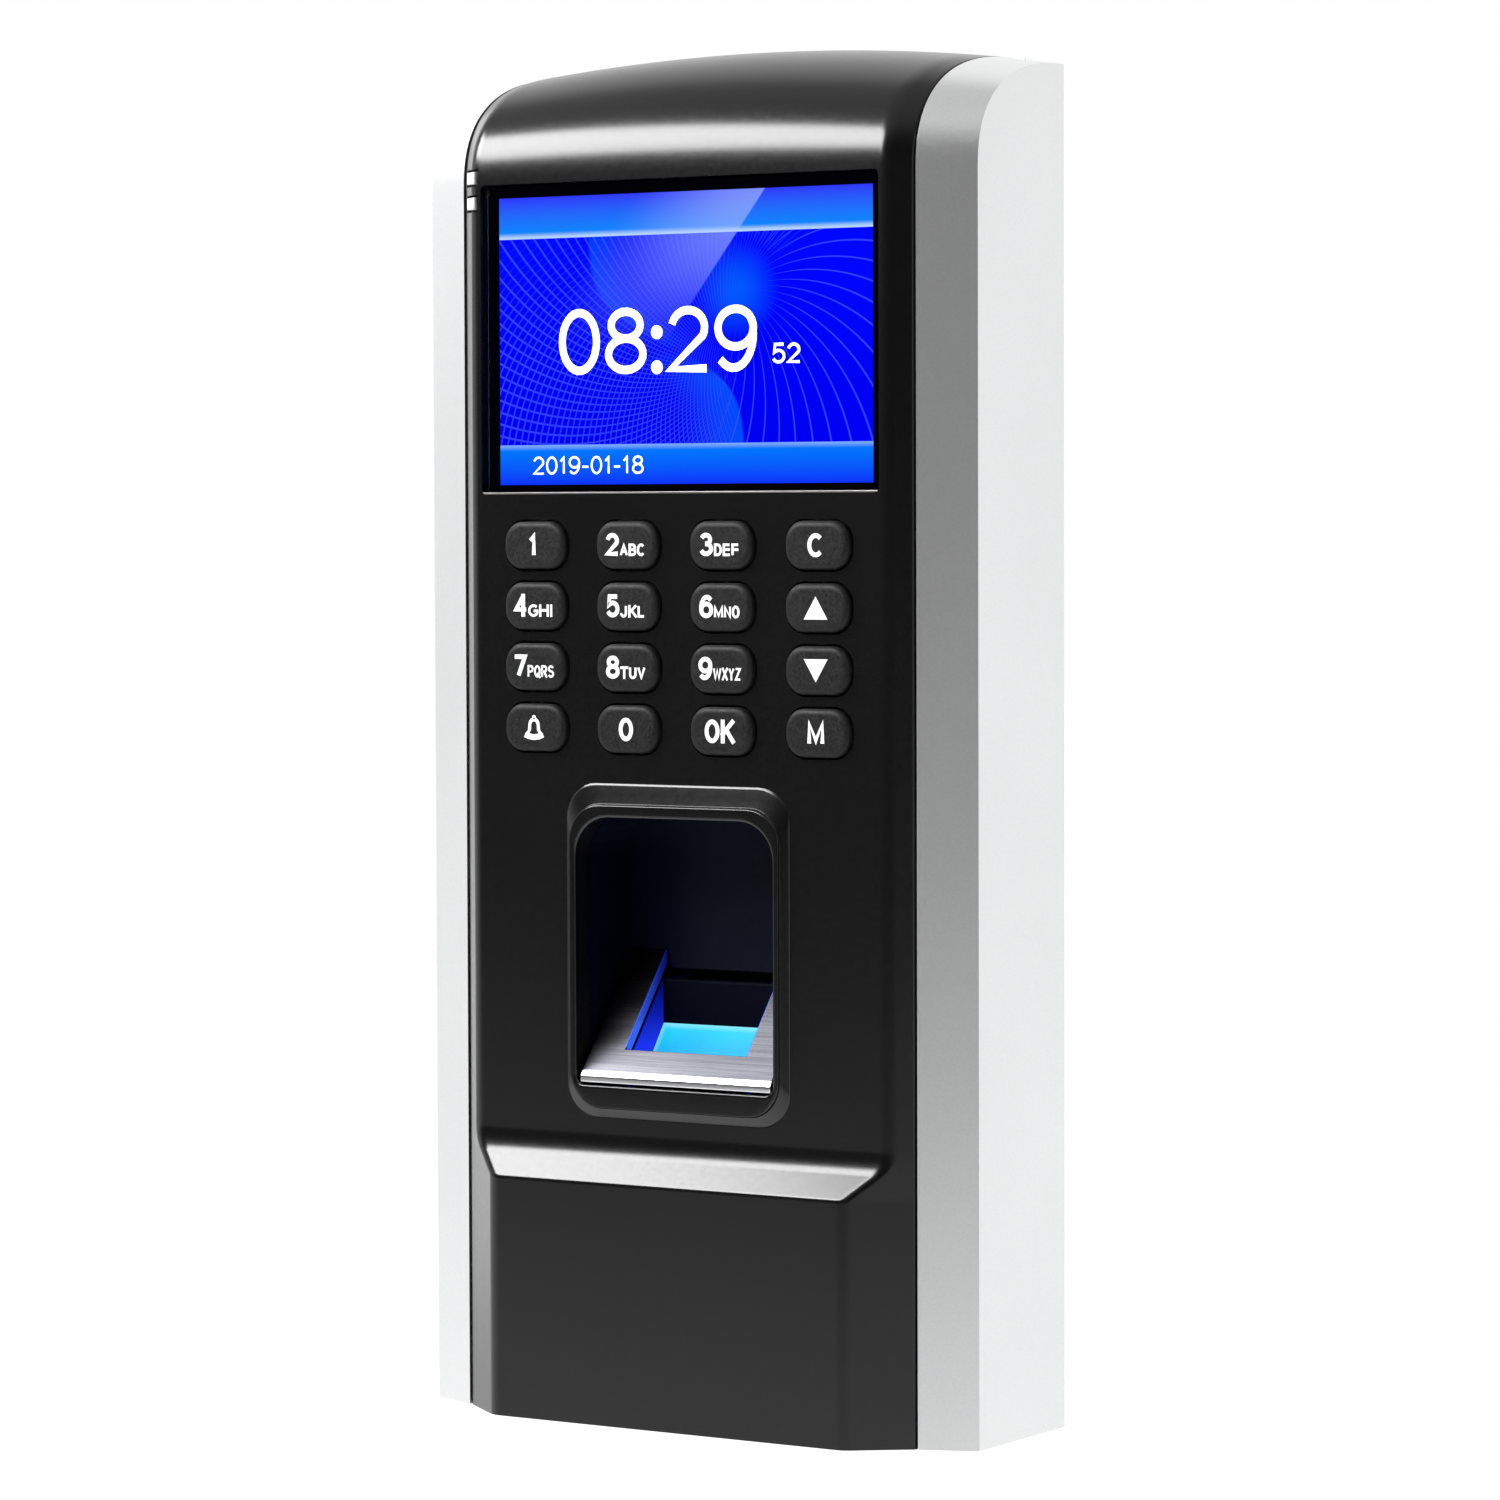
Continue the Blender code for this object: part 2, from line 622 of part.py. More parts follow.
# ---------------------------------------------------------------- display and status lights


def front_plate(name, material, half_x, low, high, front, thickness, radius):
    """A plate parallel to the front, from its front depth back by its thickness."""
    outline = rounded_rectangle(half_x, (high - low) / 2, radius, 2)
    middle = (0, -(front - thickness / 2), (low + high) / 2)
    return extruded(name, material, [outline], thickness, middle, FACING_FRONT)


def make_display():
    lens_front = FACE_DEPTH - LENS_RECESS
    front_plate("display_lens", CLEAR_LENS, LENS_HALF_X, LENS_LOW, LENS_HIGH, lens_front, LENS_THICK, 0.5 * MM)
    panel_front = lens_front - LENS_THICK - GAP
    light_front = panel_front - PANEL_THICK - GAP
    corner = 0.5 * MM
    outline = (LENS_HALF_X, LENS_LOW, LENS_HIGH)
    front_plate("display_panel", DISPLAY_BLUE, *outline, panel_front, PANEL_THICK, corner)
    front_plate("display_backlight", WHITE_DIFFUSER, *outline, light_front, BACKLIGHT_THICK, corner)


def make_status_lights():
    """Clear bars that wrap from the chamfer on to the flat front."""
    outline = [
        (STATUS_LEFT, -STATUS_REAR),
        (STATUS_LEFT, -body_depth(STATUS_LEFT, FACE_DEPTH)),
        (-crease_x(FACE_DEPTH), -FACE_DEPTH),
        (STATUS_RIGHT, -FACE_DEPTH),
        (STATUS_RIGHT, -STATUS_REAR),
    ]
    for name, (low, high) in STATUS_LIGHTS.items():
        extruded(name, WHITE_DIFFUSER, [outline], high - low, (0, 0, (low + high) / 2), FACING_UP)


# ---------------------------------------------------------------- keypad


def make_keys():
    """Sixteen rubber keys, each with a retaining flange behind the shell."""
    flange_rear = FACE_DEPTH - SHELL_WALL - GAP - KEY_FLANGE_THICK
    flange_front = flange_rear + KEY_FLANGE_THICK
    top = FACE_DEPTH + KEY_PROUD
    radius = KEY_RADIUS
    flange = rounded_rectangle(KEY_HALF_X + KEY_FLANGE, KEY_HALF_Z + KEY_FLANGE, radius)
    body = rounded_rectangle(KEY_HALF_X, KEY_HALF_Z, radius)
    crown = rounded_rectangle(KEY_HALF_X - KEY_CHAMFER, KEY_HALF_Z - KEY_CHAMFER, radius - KEY_CHAMFER)
    rings = [
        (flange_rear, flange),
        (flange_front, flange),
        (flange_front, body),
        (top - KEY_CHAMFER, body),
        (top, crown),
    ]
    for name, x, height in key_places():
        lofted(name, KEY_RUBBER, rings, (x, 0, height))


def make_keypad_mat():
    """The silicone sheet behind the keys, its domes drawn squeezed so that every key can travel."""
    thickness = 0.8 * MM
    dome = 0.5 * MM
    front = FACE_DEPTH - SHELL_WALL - GAP - KEY_FLANGE_THICK - KEY_TRAVEL - dome - 0.1 * MM
    mat = front_plate("keypad_mat", SILICONE_GREY, 27.6 * MM, 85.4 * MM, 116.8 * MM, front, thickness, 1 * MM)
    bm = bmesh.new()
    for _, x, height in key_places():
        turn = Vector((0, -1, 0)).to_track_quat("Z", "Y").to_matrix().to_4x4()
        turn.translation = (x, -front, height)
        bmesh.ops.create_cone(
            bm, cap_ends=True, segments=12, radius1=2.4 * MM, radius2=1.6 * MM, depth=2 * dome, matrix=turn
        )
    domes = add_object("keypad_domes", mesh_from("keypad_domes", bm), SILICONE_GREY)
    boolean(mat, domes, "UNION")
    board_front = front - thickness - GAP
    front_plate("keypad_board", BOARD_GREEN, 28 * MM, 85 * MM, 117.2 * MM, board_front, BOARD_THICK, 1 * MM)


# ---------------------------------------------------------------- finger scanner


def frame_height(y_depth):
    """Height of the metal frame's upper face at a distance from the wall."""
    front_depth, front_height = FRAME_FRONT
    return front_height + (front_depth - y_depth) * math.tan(FRAME_ANGLE)


def make_finger_guide():
    """The dark liner of the recess: two sides, a top and a back that is open low down for the scanner."""
    outer = MOUTH_HALF_X + GUIDE_WALL
    front = FACE_DEPTH - SHELL_WALL - GAP
    low, high = MOUTH_LOW + 0.4 * MM, MOUTH_HIGH + GUIDE_WALL
    guide = box("finger_guide", NAVY_PLASTIC, (-outer, -front, low), (outer, -RECESS_BACK + GUIDE_WALL, high))
    depth = 20 * MM
    hollow = mouth_outline(MOUTH_LOW - 10 * MM)
    middle = (0, -(RECESS_BACK + depth / 2), 0)
    boolean(guide, extruded("guide_hollow", NAVY_PLASTIC, [hollow], depth, middle, FACING_FRONT))
    half = WINDOW_HALF_X + 1.5 * MM
    window = box("guide_window", NAVY_PLASTIC, (-half, -20 * MM, 30 * MM), (half, -10 * MM, 58 * MM))
    boolean(guide, window)


def make_sensor_frame():
    """The sloping brushed plate: a front lip and two rails around the scanner's window."""
    front_depth, front_height = FRAME_FRONT
    drop = FRAME_THICK / math.cos(FRAME_ANGLE)
    rear_depth = RECESS_BACK + GAP
    lip_bottom = front_height - FRAME_LIP
    lip_depth = front_depth - (drop - FRAME_LIP) / math.tan(FRAME_ANGLE)
    outline = [
        (-front_depth, front_height),
        (-front_depth, lip_bottom),
        (-lip_depth, lip_bottom),
        (-rear_depth, frame_height(rear_depth) - drop),
        (-rear_depth, frame_height(rear_depth)),
    ]
    width = 2 * FRAME_HALF_X
    frame = extruded("sensor_frame", BRUSHED_STEEL, [outline], width, (0, 0, 0), FACING_SIDE)
    low = (-WINDOW_HALF_X, -WINDOW_FRONT, 30 * MM)
    high = (WINDOW_HALF_X, -10 * MM, 75 * MM)
    boolean(frame, box("sensor_window", BRUSHED_STEEL, low, high))


def make_sensor_module():
    """The scanner behind the frame: a black housing with a well, its glass block, and its own board."""
    half = WINDOW_HALF_X + HEADER_WALL
    drop = (FRAME_THICK + 1.6 * GAP) / math.cos(FRAME_ANGLE)
    front, rear = WELL_FRONT + HEADER_WALL, 9.0 * MM
    top_depth = WELL_BACK - 0.2 * MM
    floor = WELL_FLOOR - 1.5 * MM
    outline = [
        (-front, floor),
        (-rear, floor),
        (-rear, frame_height(top_depth) - drop),
        (-top_depth, frame_height(top_depth) - drop),
        (-front, frame_height(front) - drop),
    ]
    housing = extruded("sensor_housing", NAVY_PLASTIC, [outline], 2 * half, (0, 0, 0), FACING_SIDE)
    low = (-WINDOW_HALF_X, -WELL_FRONT, WELL_FLOOR)
    high = (WINDOW_HALF_X, -WELL_BACK, 75 * MM)
    boolean(housing, box("sensor_well", NAVY_PLASTIC, low, high))

    glass_rear, glass_front = WELL_BACK + GAP, WELL_FRONT - GAP
    glass_floor = WELL_FLOOR + GAP
    fall = (glass_front - glass_rear) * math.tan(GLASS_ANGLE)
    block = [
        (-glass_front, glass_floor),
        (-glass_rear, glass_floor),
        (-glass_rear, GLASS_TOP),
        (-glass_front, GLASS_TOP - fall),
    ]
    extruded("sensor_glass", SCANNER_GLASS, [block], 2 * (WINDOW_HALF_X - GAP), (0, 0, 0), FACING_SIDE)
    board_front = rear - GAP
    front_plate("sensor_board", BOARD_GREEN, 12 * MM, 37 * MM, 60 * MM, board_front, BOARD_THICK, 1 * MM)


# ---------------------------------------------------------------- electronics


def make_main_board():
    front = MAIN_BOARD_REAR + BOARD_THICK
    front_plate("main_board", BOARD_GREEN, 29 * MM, 84 * MM, 160 * MM, front, BOARD_THICK, 1 * MM)
    rear_face = -(MAIN_BOARD_REAR - GAP)
    for name, (left, width, low) in HEADERS.items():
        right, high = left + width, low + HEADER_HEIGHT
        header = box(name, HEADER_IVORY, (left, rear_face, low), (right, -HEADER_TIP, high))
        socket_low = (left + HEADER_WALL, rear_face + HEADER_WALL, low + HEADER_WALL)
        socket_high = (right - HEADER_WALL, 0, high - HEADER_WALL)
        boolean(header, box(name + "_socket", HEADER_IVORY, socket_low, socket_high))
    front_face = -(front + GAP)
    box("lock_relay", RELAY_BLUE, (12 * MM, front_face - 6.8 * MM, 88 * MM), (22 * MM, front_face, 103 * MM))
    x, z = -17 * MM, 148 * MM
    cylinder("clock_battery", CELL_STEEL, 10 * MM, (x, rear_face, z), (x, rear_face + 3.2 * MM, z), 32)


def make_tamper_switch():
    """A sprung plunger that passes through the rear cover and feels whether the wall is still there."""
    x, z = TAMPER_AT
    half = 3 * MM
    rear_face = -(MAIN_BOARD_REAR - GAP)
    mouth = -6.4 * MM
    switch = box("tamper_switch", HEADER_IVORY, (x - half, rear_face, z - half), (x + half, mouth, z + half))
    plunger_radius = 1.5 * MM
    inner_end = mouth - 1.2 * MM
    bore_end = inner_end - TAMPER_TRAVEL - 0.4 * MM
    bore_radius = plunger_radius + GAP
    boolean(switch, cylinder("tamper_bore", HEADER_IVORY, bore_radius, (x, bore_end, z), (x, 0, z), 16))
    cylinder("tamper_plunger", BLACK_PLASTIC, plunger_radius, (x, inner_end, z), (x, -GAP, z), 16)


def make_speaker():
    """A small loudspeaker with its cone facing the sound slots in the rear cover."""
    x, z = SPEAKER_AT
    depth = 5 * MM
    profile = (
        (0, -1.5 * MM),
        (SPEAKER_RADIUS * 0.35, -1.2 * MM),
        (SPEAKER_RADIUS * 0.8, -0.4 * MM),
        (SPEAKER_RADIUS, 0),
        (SPEAKER_RADIUS, -1.6 * MM),
        (SPEAKER_RADIUS * 0.6, -3.2 * MM),
        (SPEAKER_RADIUS * 0.6, -depth),
        (0, -depth),
    )
    rear = -(COVER_REAR + COVER_THICK + GAP)
    turned("speaker", CELL_STEEL, profile, 24, (x, rear, z), (-math.pi / 2, 0, 0))


def make_card_antenna():
    """The card reader's loop board behind the plain lower panel."""
    low, high = 5 * MM, 28 * MM
    middle_z = (low + high) / 2
    outer = rounded_rectangle(24 * MM, (high - low) / 2, 2 * MM, 2)
    inner = rounded_rectangle(17 * MM, (high - low) / 2 - 6 * MM, 2 * MM, 2)
    front = FOOT_DEPTH - SHELL_WALL - 2 * GAP
    middle = (0, -(front - MM / 2), middle_z)
    extruded("card_antenna", BOARD_GREEN, [outer, inner], MM, middle, FACING_FRONT)


make_front_shell()
make_side_panel("left_side_panel", -1)
make_side_panel("right_side_panel", 1)
make_rear_cover()
make_wall_plate()
make_fasteners()
make_display()
make_status_lights()
make_keys()
make_keypad_mat()
make_finger_guide()
make_sensor_frame()
make_sensor_module()
make_main_board()
make_tamper_switch()
make_speaker()
make_card_antenna()
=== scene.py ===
"""Looks of the wall-mounted fingerprint scanner terminal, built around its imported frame.

Metres, +Z up, front facing -Y. Heights below are measured from the terminal's base; place() lowers every piece
into the row frame, whose origin is the wall plate's rear face.
"""

import math

import bmesh
import bpy
from mathutils import Matrix, Vector


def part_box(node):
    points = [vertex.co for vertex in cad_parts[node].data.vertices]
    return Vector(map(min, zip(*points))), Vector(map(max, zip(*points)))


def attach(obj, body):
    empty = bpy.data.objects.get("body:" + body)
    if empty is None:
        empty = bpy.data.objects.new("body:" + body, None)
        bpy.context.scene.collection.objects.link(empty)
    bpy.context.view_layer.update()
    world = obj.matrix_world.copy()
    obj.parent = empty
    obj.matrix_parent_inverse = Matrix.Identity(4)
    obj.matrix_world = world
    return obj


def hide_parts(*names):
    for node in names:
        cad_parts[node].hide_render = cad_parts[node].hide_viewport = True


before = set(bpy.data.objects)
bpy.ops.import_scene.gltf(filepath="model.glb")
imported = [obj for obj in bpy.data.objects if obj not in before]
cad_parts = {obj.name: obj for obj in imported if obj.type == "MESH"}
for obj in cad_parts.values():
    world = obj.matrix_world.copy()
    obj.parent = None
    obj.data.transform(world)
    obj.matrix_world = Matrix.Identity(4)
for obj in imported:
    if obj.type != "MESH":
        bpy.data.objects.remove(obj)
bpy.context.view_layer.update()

MM = 0.001
GAP = 0.3 * MM
ORIGIN_HEIGHT = 87.0 * MM

# Outer form in plan.
HALF_WIDTH = 41.5 * MM
SIDE_DEPTH = 22.0 * MM
SEAM_X = 34.2 * MM
SEAM_DEPTH = 25.0 * MM
CHAMFER_SLOPE = 0.733
FACE_DEPTH = 27.1 * MM
FOOT_DEPTH = 30.5 * MM

# Outer form in height.
LEDGE_LOW = 31.3 * MM
LEDGE_HIGH = 37.3 * MM
LEDGE_TILT = math.radians(38.5)
BEND_START = 159.5 * MM
BEND_POWER = 2.4
SIDE_TOP = 173.9 * MM
SEAM_TOP = 175.0 * MM
CROWN_TOP = 177.1 * MM
SHELL_WALL = 2.0 * MM
SIDE_WALL = 1.6 * MM

# Display.
LENS_HALF_X = 29.9 * MM
LENS_LOW = 119.9 * MM
LENS_HIGH = 159.4 * MM
LENS_FRONT = FACE_DEPTH - 0.4 * MM
LENS_THICK = 1.2 * MM
LIT_HALF_X = 28.4 * MM
LIT_LOW = 120.85 * MM
LIT_HIGH = 158.0 * MM
TOP_BAR_LOW = 152.65 * MM
LOW_BAR_HIGH = 126.0 * MM

# Keypad.
KEY_PITCH_X = 14.31 * MM
KEY_PITCH_Z = 7.85 * MM
KEY_TOP_ROW = 113.05 * MM
KEY_HALF_X = 4.7 * MM
KEY_HALF_Z = 3.05 * MM
KEY_RADIUS = 2.6 * MM
KEY_PROUD = 0.9 * MM
KEYS = (
    (("key_1", "1", ""), ("key_2", "2", "ABC"), ("key_3", "3", "DEF"), ("key_clear", "C", "")),
    (("key_4", "4", "GHI"), ("key_5", "5", "JKL"), ("key_6", "6", "MNO"), ("key_up", "up", "")),
    (("key_7", "7", "PQRS"), ("key_8", "8", "TUV"), ("key_9", "9", "WXYZ"), ("key_down", "down", "")),
    (("key_bell", "bell", ""), ("key_0", "0", ""), ("key_ok", "OK", ""), ("key_menu", "M", "")),
)

# Finger recess.
BOSS_PROUD = 1.2 * MM
BOSS_HALF_X = 17.0 * MM
BOSS_LOW = 39.3 * MM
BOSS_HIGH = 82.5 * MM
BOSS_TOP_CHAMFER = 2.8 * MM
BOSS_LOW_CHAMFER = 1.4 * MM
BOSS_SIDE_CHAMFER = 1.1 * MM
BOSS_RADIUS = 4.6 * MM
MOUTH_HALF_X = 15.0 * MM
MOUTH_LOW = 43.6 * MM
MOUTH_HIGH = 78.1 * MM
MOUTH_RADIUS = 5.0 * MM
RECESS_BACK = 15.2 * MM
FRAME_HALF_X = 14.5 * MM
FRAME_FRONT = (28.0 * MM, 44.8 * MM)
FRAME_ANGLE = math.radians(51.3)
FRAME_THICK = 1.2 * MM
FRAME_LIP = 0.9 * MM
WINDOW_HALF_X = 9.2 * MM
WINDOW_FRONT = 25.3 * MM
WELL_FRONT = 23.4 * MM
WELL_BACK = 16.6 * MM
WELL_FLOOR = 39.5 * MM
GLASS_TOP = 51.0 * MM
GLASS_ANGLE = math.radians(54)

# Status lights: name, low, high.
STATUS_LIGHTS = (
    ("status_light_upper", 159.9 * MM, 161.5 * MM),
    ("status_light_lower", 156.6 * MM, 158.2 * MM),
)

# Screws: the axis and the sign that their heads face along.
SCREWS = {
    "wall_lock_screw": (2, -1),
    "rear_screw_lower_left": (1, 1),
    "rear_screw_lower_right": (1, 1),
    "rear_screw_upper_left": (1, 1),
    "rear_screw_upper_right": (1, 1),
}
HEADER_PINS = {"network_header": 8, "power_header": 3, "lock_header": 6, "reader_header": 4}


# ---------------------------------------------------------------- node helpers


class Nodes:
    """Short names for building one node tree."""

    def __init__(self, tree):
        self.tree = tree

    def new(self, kind, **settings):
        node = self.tree.nodes.new(kind)
        for key, value in settings.items():
            setattr(node, key, value)
        return node

    def feed(self, socket, value):
        if isinstance(value, bpy.types.NodeSocket):
            self.tree.links.new(value, socket)
        else:
            socket.default_value = value

    def math(self, operation, *values):
        node = self.new("ShaderNodeMath", operation=operation)
        for socket, value in zip(node.inputs, values):
            self.feed(socket, value)
        return node.outputs[0]

    def noise(self, vector, scale, detail=2.0, roughness=0.5):
        node = self.new("ShaderNodeTexNoise")
        self.feed(node.inputs["Vector"], vector)
        node.inputs["Scale"].default_value = scale
        node.inputs["Detail"].default_value = detail
        node.inputs["Roughness"].default_value = roughness
        return node.outputs["Fac"]

    def span(self, value, low, high, to_low=0.0, to_high=1.0, smooth=True):
        node = self.new("ShaderNodeMapRange", interpolation_type="SMOOTHSTEP" if smooth else "LINEAR")
        for name, each in (("Value", value), ("From Min", low), ("From Max", high), ("To Min", to_low), ("To Max", to_high)):
            self.feed(node.inputs[name], each)
        return node.outputs["Result"]

    def mix(self, share, first, second, blend="MIX"):
        node = self.new("ShaderNodeMix", data_type="RGBA", blend_type=blend)
        self.feed(node.inputs["Factor"], share)
        self.feed(node.inputs[6], first)
        self.feed(node.inputs[7], second)
        return node.outputs[2]

    def place(self, scale=(1, 1, 1)):
        """The piece's own coordinates, scaled along each axis."""
        coordinates = self.new("ShaderNodeTexCoord").outputs["Object"]
        if scale == (1, 1, 1):
            return coordinates
        mapping = self.new("ShaderNodeMapping")
        mapping.inputs["Scale"].default_value = scale
        self.feed(mapping.inputs["Vector"], coordinates)
        return mapping.outputs["Vector"]

    def axes(self):
        split = self.new("ShaderNodeSeparateXYZ")
        self.feed(split.inputs[0], self.place())
        return split.outputs

    def bump(self, height, strength, distance, normal=None):
        node = self.new("ShaderNodeBump")
        node.inputs["Strength"].default_value = strength
        node.inputs["Distance"].default_value = distance
        self.feed(node.inputs["Height"], height)
        if normal is not None:
            self.feed(node.inputs["Normal"], normal)
        return node.outputs["Normal"]


def new_material(name, **sockets):
    """A principled material; sockets are set straight on the shader."""
    material = bpy.data.materials.new(name)
    material.use_nodes = True
    nodes = Nodes(material.node_tree)
    shader = material.node_tree.nodes["Principled BSDF"]
    for socket, value in sockets.items():
        shader.inputs[socket.replace("_", " ")].default_value = value
    return material, nodes, shader


def tint(colour, share):
    return tuple(min(1.0, c * share) for c in colour[:3]) + (1.0,)


def grained(name, colour, roughness, spread=0.04, grain=900.0, bump=0.15, cloud=25.0, shade=0.12, edge=0.0, **sockets):
    """Moulded plastic or paint: faint clouding in colour and gloss, and a fine grain in the surface."""
    material, nodes, shader = new_material(name, **sockets)
    place = nodes.place()
    clouds = nodes.noise(place, cloud, 4.0)
    fine = nodes.noise(place, grain * 1.0, 3.0, 0.6)
    colours = nodes.mix(nodes.span(clouds, 0.3, 0.7), tint(colour, 1 - shade), tint(colour, 1 + shade))
    nodes.feed(shader.inputs["Base Color"], colours)
    gloss = nodes.span(fine, 0.3, 0.7, roughness - spread, roughness + spread)
    nodes.feed(shader.inputs["Roughness"], gloss)
    rounded = None
    if edge:
        bevel = nodes.new("ShaderNodeBevel", samples=4)
        bevel.inputs["Radius"].default_value = edge
        rounded = bevel.outputs[0]
    nodes.feed(shader.inputs["Normal"], nodes.bump(fine, bump, 0.00002, rounded))
    return material


# ---------------------------------------------------------------- materials


def make_silver():
    """Satin metallic paint: fine flake in colour and surface."""
    material, nodes, shader = new_material("silver_satin_paint", Metallic=0.9)
    place = nodes.place()
    flake = nodes.noise(place, 4200.0, 1.0, 0.7)
    clouds = nodes.noise(place, 18.0, 3.0)
    base = nodes.mix(nodes.span(clouds, 0.3, 0.7), (0.80, 0.805, 0.81, 1), (0.84, 0.845, 0.85, 1))
    speck = nodes.mix(nodes.span(flake, 0.35, 0.65), (0.96, 0.96, 0.96, 1), (1, 1, 1, 1))
    nodes.feed(shader.inputs["Base Color"], nodes.mix(1.0, base, speck, "MULTIPLY"))
    nodes.feed(shader.inputs["Roughness"], nodes.span(flake, 0.3, 0.7, 0.29, 0.33))
    nodes.feed(shader.inputs["Normal"], nodes.bump(flake, 0.03, 0.00001))
    return material


def make_rubber():
    """Silicone rubber with a speckled, slightly dusty grain."""
    material, nodes, shader = new_material("key_rubber_grained", Specular_IOR_Level=0.2)
    place = nodes.place()
    fine = nodes.noise(place, 3200.0, 3.0, 0.7)
    broad = nodes.noise(place, 500.0, 2.0)
    base = nodes.mix(nodes.span(fine, 0.35, 0.7), (0.005, 0.005, 0.0055, 1), (0.016, 0.016, 0.017, 1))
    nodes.feed(shader.inputs["Base Color"], nodes.mix(nodes.span(broad, 0.4, 0.75, 0, 0.35), base, (0.014, 0.014, 0.015, 1)))
    nodes.feed(shader.inputs["Roughness"], nodes.span(fine, 0.3, 0.7, 0.42, 0.6))
    nodes.feed(shader.inputs["Normal"], nodes.bump(fine, 0.5, 0.00004))
    return material


def make_ink():
    material, nodes, shader = new_material("legend_ink", Roughness=0.5)
    fine = nodes.noise(nodes.place(), 2500.0, 2.0)
    nodes.feed(shader.inputs["Base Color"], nodes.mix(fine, (0.82, 0.82, 0.82, 1), (0.95, 0.95, 0.95, 1)))
    nodes.feed(shader.inputs["Normal"], nodes.bump(fine, 0.1, 0.00001))
    return material


def make_lens():
    material, nodes, shader = new_material(
        "clear_lens_cast", Transmission_Weight=1.0, IOR=1.14, Base_Color=(0.99, 0.99, 1.0, 1)
    )
    haze = nodes.noise(nodes.place(), 60.0, 3.0)
    nodes.feed(shader.inputs["Roughness"], nodes.span(haze, 0.3, 0.7, 0.0, 0.02))
    return material


